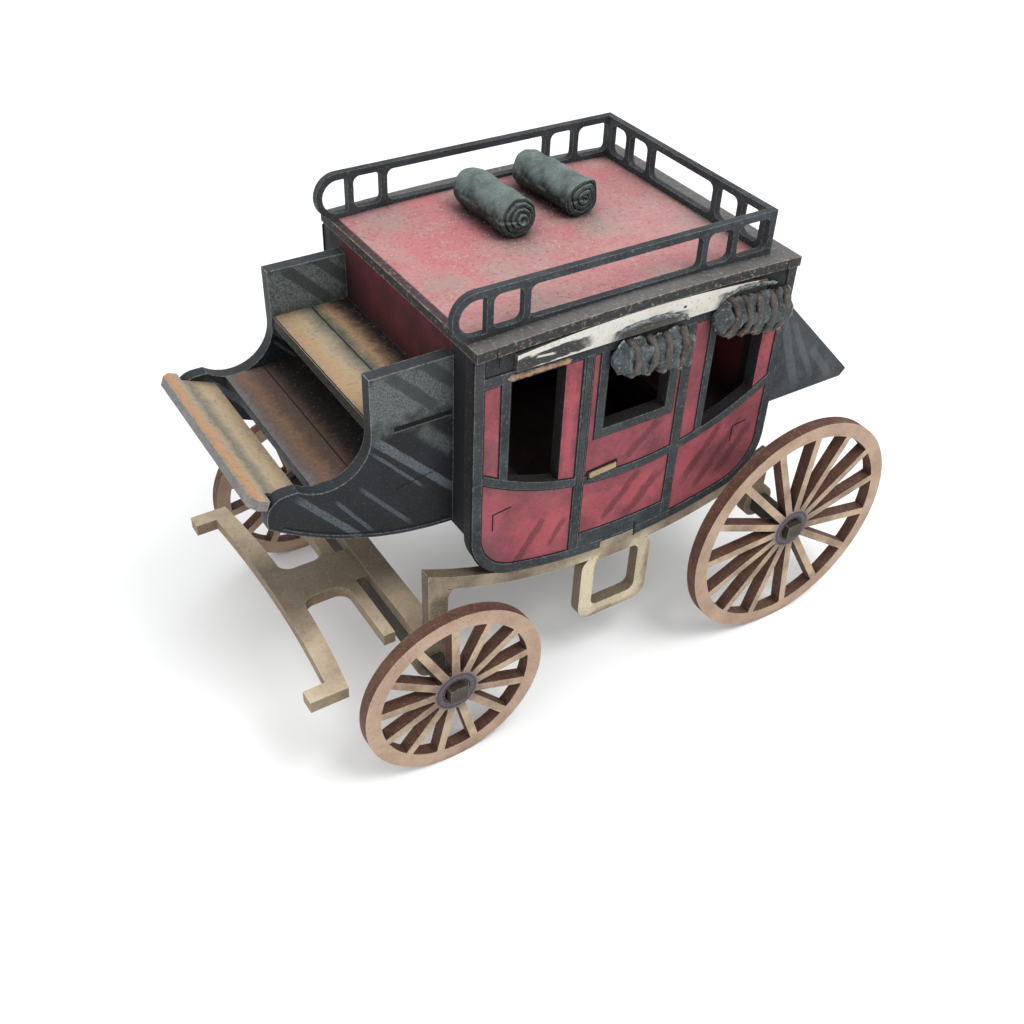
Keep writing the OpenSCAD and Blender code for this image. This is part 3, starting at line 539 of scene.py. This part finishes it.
def newPiece(name, shape, materials, body="coach", smooth=False):
    # shape is a bmesh in metres, in the model's frame
    bmesh.ops.remove_doubles(shape, verts=shape.verts, dist=0.000001)
    bmesh.ops.recalc_face_normals(shape, faces=shape.faces)
    mesh = bpy.data.meshes.new(name)
    shape.to_mesh(mesh)
    shape.free()
    for material in materials:
        mesh.materials.append(material)
    for face in mesh.polygons:
        face.use_smooth = smooth
    piece = bpy.data.objects.new(name, mesh)
    bpy.context.scene.collection.objects.link(piece)
    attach(piece, body)
    return piece


def skin(shape, rings, index=0, fans=False):
    # quads from ring to ring, and both ends closed by a face or by a fan
    count = len(rings[0])
    for ring, after in zip(rings, rings[1:]):
        for j in range(count):
            face = shape.faces.new((ring[j], ring[(j + 1) % count], after[(j + 1) % count], after[j]))
            face.material_index = index
    for ring in (rings[0], rings[-1]):
        if fans:
            hub = shape.verts.new(sum((v.co for v in ring), Vector()) / count)
            for j in range(count):
                shape.faces.new((ring[j], ring[(j + 1) % count], hub)).material_index = index
        else:
            shape.faces.new(ring).material_index = index


def strip(shape, path, width, low, high, side, index=0):
    # a flat moulding of that width along a path of (x, z), from low to high (y)
    path = [Vector(p) for p in path]
    rings = []
    for i, here in enumerate(path):
        near = path[max(0, i - 1):i + 2]
        turns = [(b - a).normalized() for a, b in zip(near, near[1:])]
        along = sum(turns, Vector((0, 0))).normalized()
        across = Vector((-along.y, along.x))
        reach = width / 2 / max(0.5, abs(across.dot(Vector((-turns[0].y, turns[0].x)))))
        a, b = here + across * reach, here - across * reach
        rings.append([shape.verts.new(place(p.x, side * y, p.y)) for p, y in
                      ((a, low), (a, high), (b, high), (b, low))])
    skin(shape, rings, index)


def arcPath(cx, cz, radius, first, last, steps):
    # angles in degrees, 0 towards +X, 90 up
    return [(cx + radius * math.cos(math.radians(first + (last - first) * k / steps)),
             cz + radius * math.sin(math.radians(first + (last - first) * k / steps)))
            for k in range(steps + 1)]


moulding = {"proud": 0.11, "lineOut": 0.17, "lineProud": 0.03, "borderWidth": 1.06, "borderInset": 0.55,
            "beltWidth": 0.95, "keelRadius": 60.0, "keelZ": 78.2, "cornerRadius": 6.5, "beltLow": 28.8,
            "beltRadius": 35.7, "beltSteps": 20, "borderTop": 48.5, "postTop": 45.4, "frameTop": 45.3,
            "frontPost": -18.08, "frontPostWidth": 1.15, "rearPost": -31.18, "rearPostWidth": 1.1,
            "beltSpans": ((-5.7, -17.5), (-18.7, -30.6), (-31.75, -44.4)), "frontJamb": -8.28,
            "rearJamb": -34.35, "rearJambWidth": 0.8, "doorFrame": (-20.1, -29.5), "doorSill": 35.05,
            "sillReach": 6.1, "sillWidth": 2.4, "sillInset": 1.9, "topRail": 45.85, "topRailWidth": 1.1,
            "doorLines": (-17.72, -18.5), "tabMarks": ((-7.25, -9.5, 29.35), (-39.95, -42.0, 29.3)),
            "markCorner": 29.1, "markEnd": 26.9, "markWidth": 0.16, "fineLine": 0.1,
            "corniceJoints": (2.2, 1.9)}
cornerX = (bodyFront - bodyBack) / 2 - moulding["cornerRadius"]
cornerReach = moulding["keelRadius"] - moulding["cornerRadius"]
cornerZ = moulding["keelZ"] - math.sqrt(cornerReach ** 2 - cornerX ** 2)
lean = math.degrees(math.asin(cornerX / cornerReach))


def beltAt(x):
    radius = moulding["beltRadius"]
    return moulding["beltLow"] + radius - math.sqrt(radius ** 2 - (x - bodyMid) ** 2)


def keelAt(x, inset=0.0):
    return moulding["keelZ"] - math.sqrt((moulding["keelRadius"] - inset) ** 2 - (x - bodyMid) ** 2)


def outlinePath(inset, top):
    radius = moulding["cornerRadius"] - inset
    path = [(bodyFront - inset, top)]
    path += arcPath(bodyMid + cornerX, cornerZ, radius, 0, -90 + lean, 12)
    keelRadius = moulding["keelRadius"] - inset
    path += arcPath(bodyMid, moulding["keelZ"], keelRadius, -90 + lean, -90 - lean, 40)[1:-1]
    path += arcPath(bodyMid - cornerX, cornerZ, radius, -90 - lean, -180, 12)
    return path + [(bodyBack + inset, top)]


def beltPath(start, end):
    steps = moulding["beltSteps"]
    places = [start + (end - start) * k / steps for k in range(steps + 1)]
    return [(x, beltAt(x)) for x in places]


def postPath(x, top, foot=0.6):
    return [(x, top), (x, keelAt(x, foot))]


def jambPath(x):
    return [(x, moulding["frameTop"]), (x, beltAt(x) + 0.3)]


def sillPath():
    # the broad board along the keel, under the door
    places = [bodyMid + moulding["sillReach"] - 2 * moulding["sillReach"] * k / 14 for k in range(15)]
    return [(x, keelAt(x, moulding["sillInset"])) for x in places]


windowFront, windowRear = moulding["doorFrame"]
doorFrame = [(windowFront, moulding["frameTop"]), (windowFront, moulding["doorSill"]),
             (windowRear, moulding["doorSill"]), (windowRear, moulding["frameTop"])]
# path, width, and extra height so that crossing strips don't share a face
mouldings = [
    (outlinePath(moulding["borderInset"], moulding["borderTop"]), moulding["borderWidth"], 0.03),
    (postPath(moulding["frontPost"], moulding["postTop"]), moulding["frontPostWidth"], 0.02),
    (postPath(moulding["rearPost"], moulding["postTop"]), moulding["rearPostWidth"], 0.02),
    *((beltPath(*span), moulding["beltWidth"], 0.01) for span in moulding["beltSpans"]),
    (jambPath(moulding["frontJamb"]), moulding["beltWidth"], 0.0),
    (doorFrame, moulding["beltWidth"], 0.0),
    (jambPath(moulding["rearJamb"]), moulding["rearJambWidth"], 0.0),
    (sillPath(), moulding["sillWidth"], 0.005),
    ([(bodyFront - 1.0, moulding["topRail"]), (bodyBack + 1.0, moulding["topRail"])],
     moulding["topRailWidth"], 0.015)]

doorHandle = {"bar": [(-19.35, 29.86), (-20.0, 29.91), (-22.2, 30.05), (-22.85, 30.1)], "width": 0.62,
              "proud": 0.34, "outline": [(-19.1, 29.82), (-23.1, 30.12)], "outlineWidth": 1.05}
chassisTab = {"from": -22.0, "reach": 4.7, "inset": 0.35, "width": 0.95, "proud": 0.16,
              "slit": [(-26.8, 20.1), (-26.85, 18.1)], "slitWidth": 0.2}
# the box's lower edge is an arc; lines run beside it, and the seat plank's slot shows
boxLines = {"arcCentre": (-6, 62.8), "engravedRadius": 35.35, "paleRadius": 35.62, "arcSpan": (-87.3, -55.5),
            "slot": [(1.95, 40.95), (-4.4, 40.95)], "slotWidth": 0.5, "slotEdge": [(2.1, 40.6), (-4.4, 40.6)],
            "slotEdgeWidth": 0.12, "scratch": [(2.05, 33.6), (-2.2, 34.3)]}
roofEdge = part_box("roof_panel")[1][1] / mm
sunk = 0.05                                      # strips start this far inside the sheet they lie on

for side, word in ((leftSide, "left"), (rightSide, "right")):
    shape = bmesh.new()
    for path, width, lift in mouldings:
        lineTop = sideY + moulding["lineProud"] + lift / 10
        strip(shape, path, width + 2 * moulding["lineOut"], sideY - sunk, lineTop, side, 1)
        strip(shape, path, width, sideY - 0.04, sideY + moulding["proud"] + lift, side, 0)
    for corner, far, farZ in moulding["tabMarks"]:
        mark = [(far, farZ), (corner, moulding["markCorner"]), (corner, moulding["markEnd"])]
        strip(shape, mark, moulding["markWidth"], sideY - sunk, sideY + 0.022, side, 1)
    for x in moulding["doorLines"]:              # the split between jamb and door
        path = postPath(x, moulding["frameTop"], 1.2)
        strip(shape, path, moulding["fineLine"], sideY + 0.1, sideY + moulding["proud"] + 0.028, side, 1)
    strip(shape, [(-7.4, 47.3), (-7.4, 48.5)], moulding["fineLine"], sideY - 0.02, sideY + 0.03, side, 1)
    fromFront, fromRear = moulding["corniceJoints"]
    for x in (bodyFront - fromFront, bodyBack + fromRear):
        strip(shape, [(x, roofTop - 2.1), (x, roofTop - 0.6)], 0.14, roofEdge - sunk, roofEdge + 0.02,
              side, 1)
    newPiece("side_mouldings_" + word, shape, [charcoalPaint, engraving])

    shape = bmesh.new()
    strip(shape, doorHandle["outline"], doorHandle["outlineWidth"], sideY - sunk, sideY + 0.16, side, 1)
    strip(shape, doorHandle["bar"], doorHandle["width"], sideY + 0.1, sideY + doorHandle["proud"], side, 0)
    newPiece("door_handle_" + word, shape, [handlePaint, engraving])

    # tab of the chassis sheet under the door, with its slit
    shape = bmesh.new()
    places = [chassisTab["from"] - chassisTab["reach"] * k / 8 for k in range(9)]
    tabPath = [(x, keelAt(x, chassisTab["inset"])) for x in places]
    strip(shape, tabPath, chassisTab["width"], sideY - sunk, sideY + chassisTab["proud"], side, 0)
    strip(shape, chassisTab["slit"], chassisTab["slitWidth"], sideY - sunk, sideY + 0.2, side, 1)
    newPiece("chassis_tab_" + word, shape, [chassisBoard, engraving])

    shape = bmesh.new()
    for radius, width, proud, index in ((boxLines["engravedRadius"], 0.11, 0.02, 1),
                                        (boxLines["paleRadius"], 0.1, 0.03, 0)):
        path = arcPath(*boxLines["arcCentre"], radius, *boxLines["arcSpan"], 40)
        strip(shape, path, width, boxY - 0.04, boxY + proud, side, index)
    strip(shape, boxLines["slot"], boxLines["slotWidth"], boxY - 0.04, boxY + 0.02, side, 1)
    strip(shape, boxLines["slotEdge"], boxLines["slotEdgeWidth"], boxY - 0.04, boxY + 0.04, side, 0)
    strip(shape, boxLines["scratch"], 0.1, boxY - 0.04, boxY + 0.015, side, 1)
    newPiece("box_lines_" + word, shape, [charcoalPaint, engraving])
print("mouldings and engraved lines made")

# torn board where the front curtain of the left side broke off
tornStrip = {"from": -8.3, "to": -15.9, "z": 45.7, "height": 0.62, "depth": 0.26, "seed": 3.7,
             "steps": 60, "around": 12}
shape = bmesh.new()
rings = []
steps = tornStrip["steps"]
for k in range(steps + 1):
    x = tornStrip["from"] + (tornStrip["to"] - tornStrip["from"]) * k / steps
    fade = min(1, k / 3, (steps - k) / 3) * 0.9 + 0.1
    ring = []
    for j in range(tornStrip["around"]):
        turn = 2 * math.pi * j / tornStrip["around"]
        lump = 1 + 0.55 * noise.noise(Vector((x * 2.1, turn * 1.3, tornStrip["seed"])))
        y = sideY + 0.08 + max(-0.1, tornStrip["depth"] * fade * lump * math.sin(turn))
        z = tornStrip["z"] + tornStrip["height"] / 2 * fade * lump * math.cos(turn)
        ring.append(shape.verts.new(place(x, y, z)))
    rings.append(ring)
skin(shape, rings)
newPiece("torn_strip_front_left", shape, [bareBoard])
print("torn strip made")


# ---- rolled curtains

def newTree(name, sockets):
    # a Geometry Nodes tree; each socket is its label, type and default value
    tree = bpy.data.node_groups.new(name, "GeometryNodeTree")
    for label, kind, start in (("Geometry", "Geometry", None), *sockets, ("Material", "Material", None)):
        socket = tree.interface.new_socket(label, in_out="INPUT", socket_type="NodeSocket" + kind)
        if start is not None:
            socket.default_value = start
    tree.interface.new_socket("Geometry", in_out="OUTPUT", socket_type="NodeSocketGeometry")
    return tree, addNode(tree, "NodeGroupInput").outputs


def endTree(tree, given, spread):
    # makes the instances real, paints them and sends them out
    real = addNode(tree, "GeometryNodeRealizeInstances", {}, [spread])
    painted = addNode(tree, "GeometryNodeSetMaterial", {}, {"Geometry": real, "Material": given["Material"]})
    addNode(tree, "NodeGroupOutput", {}, {"Geometry": painted})
    return tree


def strapTree():
    # a row of straps round a roll: rings at even steps, swelling towards one end
    tree, given = newTree("strapRow", (
        ("Count", "Int", 4), ("First", "Float", 0.001), ("Step", "Float", 0.002), ("Size", "Float", 0.001),
        ("Width", "Float", 0.0005), ("Growth", "Float", 0.1), ("Flatness", "Float", 0.6), ("Seed", "Int", 1)))
    offset = addNode(tree, "ShaderNodeCombineXYZ", {}, [given["Step"]])
    start = addNode(tree, "ShaderNodeCombineXYZ", {}, [given["First"]])
    line = addNode(tree, "GeometryNodeMeshLine", {}, {
        "Count": given["Count"], "Start Location": start, "Offset": offset})
    ring = addNode(tree, "GeometryNodeCurvePrimitiveCircle", {}, {"Resolution": 18, "Radius": given["Size"]})
    thick = addNode(tree, "ShaderNodeMath", {"operation": "MULTIPLY"}, [given["Width"], 0.7])
    section = addNode(tree, "GeometryNodeCurvePrimitiveCircle", {}, {"Resolution": 7, "Radius": thick})
    band = addNode(tree, "GeometryNodeCurveToMesh", {}, {
        "Curve": ring, "Profile Curve": section, "Fill Caps": False})
    turned = addNode(tree, "GeometryNodeTransform", {}, {"Geometry": band, "Rotation": (0, math.pi / 2, 0)})
    index = addNode(tree, "GeometryNodeInputIndex")
    swell = addNode(tree, "ShaderNodeMath", {"operation": "MULTIPLY_ADD"}, [index, given["Growth"], 1.0])
    size = addNode(tree, "ShaderNodeCombineXYZ", {}, [1.0, given["Flatness"], swell])
    lean = addNode(tree, "FunctionNodeRandomValue", {"data_type": "FLOAT_VECTOR"},
                   {"Min": (-0.12, -0.1, -0.22), "Max": (0.12, 0.1, 0.22), "Seed": given["Seed"]})
    spread = addNode(tree, "GeometryNodeInstanceOnPoints", {}, {
        "Points": line, "Instance": turned, "Rotation": lean, "Scale": size})
    return endTree(tree, given, spread)


strapRow = strapTree()


def bakedTree(tree, inputs, name):
    # runs a Geometry Nodes tree on an empty mesh and gives the plain mesh it makes
    holder = bpy.data.objects.new(name + "_nodes", bpy.data.meshes.new(name + "_nodes"))
    bpy.context.scene.collection.objects.link(holder)
    modifier = holder.modifiers.new("nodes", "NODES")
    modifier.node_group = tree
    for item in tree.interface.items_tree:
        if item.in_out == "INPUT" and item.name in inputs:
            modifier[item.identifier] = inputs[item.name]
    ready = holder.evaluated_get(bpy.context.evaluated_depsgraph_get())
    mesh = bpy.data.meshes.new_from_object(ready)
    holder.modifiers.remove(modifier)
    bpy.data.objects.remove(holder)
    mesh.name = name
    return mesh


# front and rear are the ends (x, z); high is the height at each end
curtains = {
    "curtain_door_left": {"side": leftSide, "front": (-20.3, 44.6), "rear": (-30.1, 43.3),
                          "high": (3.3, 4.2), "straps": 4, "seed": 2},
    "curtain_rear_left": {"side": leftSide, "front": (-33.3, 45.7), "rear": (-43.5, 44.3),
                          "high": (3.6, 4.6), "straps": 5, "seed": 5},
    "curtain_front_right": {"side": rightSide, "front": (-7.4, 45.6), "rear": (-16.9, 44.2),
                            "high": (3.4, 4.2), "straps": 4, "seed": 8},
    "curtain_door_right": {"side": rightSide, "front": (-20.3, 44.6), "rear": (-30.1, 43.4),
                           "high": (3.3, 4.2), "straps": 4, "seed": 11},
    "curtain_rear_right": {"side": rightSide, "front": (-33.3, 45.7), "rear": (-43.5, 44.4),
                           "high": (3.6, 4.6), "straps": 5, "seed": 14}}
curtainShape = {"depth": 1.45, "stations": 110, "around": 36, "fold": 0.34, "lump": 0.24, "strapWidth": 0.68}

for node, look in curtains.items():
    fx, fz = look["front"]
    rx, rz = look["rear"]
    length = math.hypot(rx - fx, rz - fz)
    along = Vector((rx - fx, 0, rz - fz)) / length
    up = Vector((along.z, 0, -along.x)) * (1 if along.x < 0 else -1)
    out = Vector((0, look["side"], 0))
    base = Vector((fx, look["side"] * (sideY + 0.5 + 0.35), fz))
    count, depth = look["straps"], curtainShape["depth"]
    step = length / (count + 0.55)
    first = step * 0.95

    def sectionAt(u, turn):
        # cloth bulges between the straps and pinches under them; the front end is thin and torn
        grow = u / length
        high = look["high"][0] + (look["high"][1] - look["high"][0]) * grow
        between = abs(math.sin(math.pi * (u - first) / step))
        taper = min(1.0, 0.25 + u / 1.6) * min(1.0, 0.5 + (length - u) / 0.7)
        rough = noise.noise(Vector((u * 1.1, math.cos(turn) * 1.8, math.sin(turn) * 1.8 + look["seed"])))
        fineRough = noise.noise(Vector((u * 3.3, math.cos(turn) * 4.5, math.sin(turn) * 4.5 + look["seed"])))
        facet = 1 + 0.12 * math.cos(5 * turn + look["seed"] + 0.5 * math.sin(u * 1.4))
        bulge = 1 + curtainShape["fold"] * (between - 0.6) * 0.5
        reach = taper * facet * (bulge + curtainShape["lump"] * rough + 0.1 * fineRough)
        return high / 2 * reach * math.cos(turn), depth * reach * math.sin(turn)

    shape = bmesh.new()
    rings = []
    for k in range(curtainShape["stations"] + 1):
        u = length * k / curtainShape["stations"]
        ring = []
        for j in range(curtainShape["around"]):
            v, w = sectionAt(u, 2 * math.pi * j / curtainShape["around"])
            point = base + along * u + up * v + out * max(w, -0.32)
            ring.append(shape.verts.new(place(*point)))
        rings.append(ring)
    skin(shape, rings, fans=True)
    piece = newPiece("rolled_" + node, shape, [curtainPutty], smooth=True)
    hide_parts(node)

    highFirst = look["high"][0] + (look["high"][1] - look["high"][0]) * first / length
    mesh = bakedTree(strapRow, {
        "Count": count, "First": first * mm, "Step": step * mm, "Size": (highFirst / 2 - 0.02) * mm,
        "Width": curtainShape["strapWidth"] * mm, "Growth": 0.03, "Seed": look["seed"],
        "Flatness": depth / (highFirst / 2 - 0.02), "Material": strapPutty}, "straps_" + node)
    shape = bmesh.new()
    shape.from_mesh(mesh)
    frameOf = Matrix((along, out, up)).transposed().to_4x4()
    for vert in shape.verts:
        spot = frameOf @ vert.co + base * mm + Vector((axleX * mm, 0, 0))
        wave = noise.noise(spot * 1400) * 0.12 * mm
        low = (sideY + 0.52) * mm
        spot.y = look["side"] * max(low, look["side"] * spot.y + wave)
        vert.co = spot
    # a knot where each strap is buckled, low on the front
    for k in range(count):
        u = first + step * k + 0.15
        high = look["high"][0] + (look["high"][1] - look["high"][0]) * u / length
        centre = base + along * u - up * (high / 2 * 0.86) + out * (depth * 0.62)
        made = bmesh.ops.create_icosphere(shape, subdivisions=2, radius=0.46 * mm)
        for vert in made["verts"]:
            wave = 1 + 0.25 * noise.noise(vert.co * 2600 + Vector((k * 3.1, look["seed"], 0)))
            vert.co = Vector((vert.co.x * 0.8, vert.co.y * 0.7, vert.co.z * 1.15)) * wave + place(*centre)
    piece = newPiece("straps_" + node, shape, [strapPutty], smooth=True)
print("curtains made")

# dark glue left round the rolled curtains, brushed over the letterboard
glueMark = {"size": 0.3, "thick": 0.2, "steps": 48, "around": 6}
gluePaths = {
    "glue_door_left": [(-20.4, 46.6), (-21.6, 47.35), (-24.0, 47.75), (-27.2, 47.6), (-29.4, 47.0),
                       (-30.2, 46.4)],
    "glue_rear_left": [(-34.0, 46.6), (-34.8, 47.5), (-36.6, 48.1), (-39.6, 48.0), (-42.0, 47.5)]}
for name, path in gluePaths.items():
    shape = bmesh.new()
    rings = []
    steps = glueMark["steps"]
    for k in range(steps + 1):
        where = k / steps * (len(path) - 1)
        i = min(int(where), len(path) - 2)
        spot = Vector(path[i]).lerp(Vector(path[i + 1]), where - i)
        uneven = 1 + 0.6 * noise.noise(Vector((spot.x * 1.6, spot.y, 1.3)))
        size = glueMark["size"] * uneven * min(1, 0.3 + k / 6, 0.3 + (steps - k) / 6)
        ring = []
        for j in range(glueMark["around"]):
            turn = math.pi * j / (glueMark["around"] - 1)
            out = max(-0.03, glueMark["thick"] * size / glueMark["size"] * math.sin(turn))
            ring.append(shape.verts.new(place(spot.x, sideY + 0.5 + out, spot.y + size * math.cos(turn))))
        rings.append(ring)
    skin(shape, rings)
    newPiece(name, shape, [curtainPutty], smooth=True)
print("glue marks made")

# ---- bedrolls: a canvas sheet wound round itself, its turns stepping out at the near end
bedrolls = {"bedroll_front": {"near": (-20.07, -0.75), "far": (-19.74, -10.7), "radius": 2.28,
                              "turns": 4.2, "out": 1.15, "seed": 1.5},
            "bedroll_rear": {"near": (-29.0, -1.5), "far": (-28.05, -12.1), "radius": 2.22,
                             "turns": 3.4, "out": 0.45, "seed": 6.2}}
for node, look in bedrolls.items():
    near, far = Vector(look["near"]), Vector(look["far"])
    length = (near - far).length
    along = Vector(((near - far).x, (near - far).y, 0)) / length
    across = Vector((along.y, -along.x, 0))
    radius = look["radius"]
    floorZ = roofTop - 0.06
    centreZ = roofTop + radius * 0.93
    around, lengthwise, capRings = 96, 90, 46
    angles = [2 * math.pi * j / around for j in range(around)]

    def rollPoint(u, r, turn):
        centre = Vector((far.x, far.y, centreZ)) + along * u
        point = centre + across * (r * math.cos(turn)) + Vector((0, 0, r * math.sin(turn)))
        return place(point.x, point.y, max(point.z, floorZ))

    def outer(u, turn):
        # the sheet's free edge runs down the top; soft diagonal creases cross the roll
        seam = 0.16 * ((turn / (2 * math.pi) + 0.12) % 1)
        crease = 0.11 * noise.noise(Vector((u * 0.55 + turn * 0.9, turn * 1.1, look["seed"])))
        small = 0.05 * noise.noise(Vector((u * 1.9 - turn * 1.5, math.cos(turn) * 2, look["seed"] + 3)))
        endRound = min(1.0, math.sqrt(max(0.0, 1 - (1 - min(1, u / 1.3)) ** 2)) * 0.45 + 0.55)
        return (radius * (1 + crease + small) - seam) * endRound

    shape = bmesh.new()
    rings = []
    for k in range(lengthwise + 1):
        u = length * k / lengthwise
        rings.append([shape.verts.new(rollPoint(u, outer(u, turn), turn)) for turn in angles])
    for k in range(1, capRings + 1):
        part = 1 - k / (capRings + 1)
        ring = []
        for turn in angles:
            winding = (1 - part) * look["turns"] + turn / (2 * math.pi)
            step, inside = int(winding), winding % 1
            rise = step + max(0.0, min(1.0, (inside - 0.05) / 0.2))
            dip = math.exp(-((inside - 0.02) / 0.09) ** 2)
            groove = -0.3 * dip - 0.3 * math.exp(-((inside - 1.0) / 0.07) ** 2)
            lump = 0.07 * noise.noise(Vector((part * 5, turn, look["seed"])))
            hollow = -0.5 * max(0.0, 1 - part / 0.16)
            out = look["out"] * (rise - turn / (2 * math.pi) * 0.4) / look["turns"]
            u = length + out + groove + lump + hollow
            ring.append(shape.verts.new(rollPoint(u, outer(length, turn) * part, turn)))
        rings.append(ring)
    skin(shape, rings, fans=True)
    piece = newPiece("rolled_" + node, shape, [bedrollPutty], smooth=True)
    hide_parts(node)
print("bedrolls made")

# ---- engraved board lines on the planks
shape = bmesh.new()


def flatLine(shape, start, end, width, z):
    # a thin line lying on a plank, from start to end (x, y)
    a, b = Vector(start), Vector(end)
    across = Vector((-(b - a).y, (b - a).x)).normalized() * width / 2
    corners = (a + across, b + across, b - across, a - across)
    low, top = ([shape.verts.new(place(p.x, p.y, z + lift)) for p in corners] for lift in (-0.04, 0.015))
    shape.faces.new(low)
    shape.faces.new(top)
    for k in range(4):
        shape.faces.new((low[k], low[(k + 1) % 4], top[(k + 1) % 4], top[k]))


innerY = boxY - 1.55
for x, z in ((seatX - 4.55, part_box("driver_seat")[1][2] / mm),
             (floorX - 4.4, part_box("footwell_floor")[1][2] / mm),
             (seatX - 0.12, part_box("driver_seat")[1][2] / mm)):
    flatLine(shape, (x, -innerY), (x, innerY), 0.13, z)
newPiece("plank_lines", shape, [engraving])
print("plank lines made")


# ---- grit caught in the roof's paint

def gritTree():
    # small chips scattered over a face, each turned and sized by chance
    tree, given = newTree("scatteredGrit", (
        ("Length", "Float", 0.03), ("Width", "Float", 0.02), ("Density", "Float", 200000.0),
        ("Grain", "Float", 0.00008), ("Seed", "Int", 3)))
    sheet = addNode(tree, "GeometryNodeMeshGrid", {}, {
        "Size X": given["Length"], "Size Y": given["Width"], "Vertices X": 2, "Vertices Y": 2})
    points = addNode(tree, "GeometryNodeDistributePointsOnFaces", {},
                     {"Mesh": sheet, "Density": given["Density"], "Seed": given["Seed"]})
    chip = addNode(tree, "GeometryNodeMeshIcoSphere", {}, {"Radius": given["Grain"], "Subdivisions": 1})
    turn = addNode(tree, "FunctionNodeRandomValue", {"data_type": "FLOAT_VECTOR"},
                   {"Min": (0, 0, 0), "Max": (6.28, 6.28, 6.28), "Seed": given["Seed"]})
    size = addNode(tree, "FunctionNodeRandomValue", {"data_type": "FLOAT"},
                   {"Min": 0.4, "Max": 1.3, "Seed": given["Seed"]})
    spread = addNode(tree, "GeometryNodeInstanceOnPoints", {}, {
        "Points": points, "Instance": chip, "Rotation": turn})
    tree.links.new(next(o for o in size.outputs if o.enabled), spread.inputs["Scale"])
    return endTree(tree, given, spread)


roofGrit = {"inset": 3.6, "grain": 0.075, "density": 0.9e6, "seed": 11}
roofLow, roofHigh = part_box("roof_panel")
mesh = bakedTree(gritTree(), {
    "Length": roofHigh[0] - roofLow[0] - roofGrit["inset"] * mm,
    "Width": roofHigh[1] - roofLow[1] - 2 * roofGrit["inset"] * mm, "Density": roofGrit["density"],
    "Grain": roofGrit["grain"] * mm, "Seed": roofGrit["seed"], "Material": bareBoard}, "roof_grit")
roofSag = 0.5 / (20.2 ** 2)                      # the roof falls away from its middle by this, per mm squared
shape = bmesh.new()
shape.from_mesh(mesh)
middle = (roofLow[0] + roofHigh[0]) / 2
for vert in shape.verts:
    vert.co.z += (roofTop - roofSag * (vert.co.x / mm) ** 2) * mm - 0.02 * mm
    vert.co.x += middle
gritPaint = agedPaint("sand_grains_in_paint", {"base": "#D6B8A4", "patch": "#B49A88", "dryBrush": "#EBD8C4",
                      "grainAmount": 0.4, "edgeAmount": 0.2, "roughness": 0.85})
newPiece("roof_grit", shape, [gritPaint])
print("roof grit made")

# ---- floor, light and camera
floor = bpy.data.meshes.new("floor")
floor.from_pydata([(-3, -3, 0), (3, -3, 0), (3, 3, 0), (-3, 3, 0)], [], [(0, 1, 2, 3)])
floorObject = bpy.data.objects.new("studio_floor", floor)
bpy.context.scene.collection.objects.link(floorObject)
paper = bpy.data.materials.new("white_studio_paper")
paper.use_nodes = True
paper.node_tree.nodes["Principled BSDF"].inputs["Base Color"].default_value = hexColor("#FAFAF9")
paper.node_tree.nodes["Principled BSDF"].inputs["Roughness"].default_value = 0.9
floor.materials.append(paper)

world = bpy.data.worlds.new("studio")
world.use_nodes = True
world.node_tree.nodes["Background"].inputs["Color"].default_value = hexColor("#F6F8FA")
world.node_tree.nodes["Background"].inputs["Strength"].default_value = 1.0
bpy.context.scene.world = world
bpy.context.scene.view_settings.view_transform = "Standard"      # plain contrast, white paper stays white

lamps = {"key": {"at": (-0.06, 0.16, 0.30), "power": 0.55, "size": 0.16},
         "fill": {"at": (0.28, 0.05, 0.20), "power": 0.2, "size": 0.25},
         "back": {"at": (-0.20, -0.25, 0.26), "power": 0.15, "size": 0.2}}
for name, look in lamps.items():
    data = bpy.data.lights.new(name, "AREA")
    data.energy = look["power"]
    data.size = look["size"]
    lamp = bpy.data.objects.new(name, data)
    lamp.location = look["at"]
    lamp.rotation_euler = (Vector((0, 0, 0.03)) - Vector(look["at"])).to_track_quat("-Z", "Y").to_euler()
    bpy.context.scene.collection.objects.link(lamp)

view = {"from": (43.714, 95.359, 107.929), "turn": 145.986, "down": 39.760, "roll": -2.733, "lens": 41.32}
turn, down, roll = (math.radians(view[k]) for k in ("turn", "down", "roll"))
back = Vector((math.sin(turn) * math.cos(down), -math.cos(turn) * math.cos(down), math.sin(down)))
right = (-back).cross(Vector((0, 0, 1))).normalized()
below = (-back).cross(right)
rightRolled = math.cos(roll) * right + math.sin(roll) * below
belowRolled = -math.sin(roll) * right + math.cos(roll) * below
cameraData = bpy.data.cameras.new("camera")
cameraData.lens = view["lens"]
cameraData.sensor_width = 36
cameraData.clip_start = 0.001
cameraObject = bpy.data.objects.new("camera", cameraData)
cameraObject.matrix_world = Matrix.Translation(place(*view["from"])) @ Matrix(
    (rightRolled, -belowRolled, back)).transposed().to_4x4()
bpy.context.scene.collection.objects.link(cameraObject)
bpy.context.scene.camera = cameraObject
print("stage, lamps and camera ready")
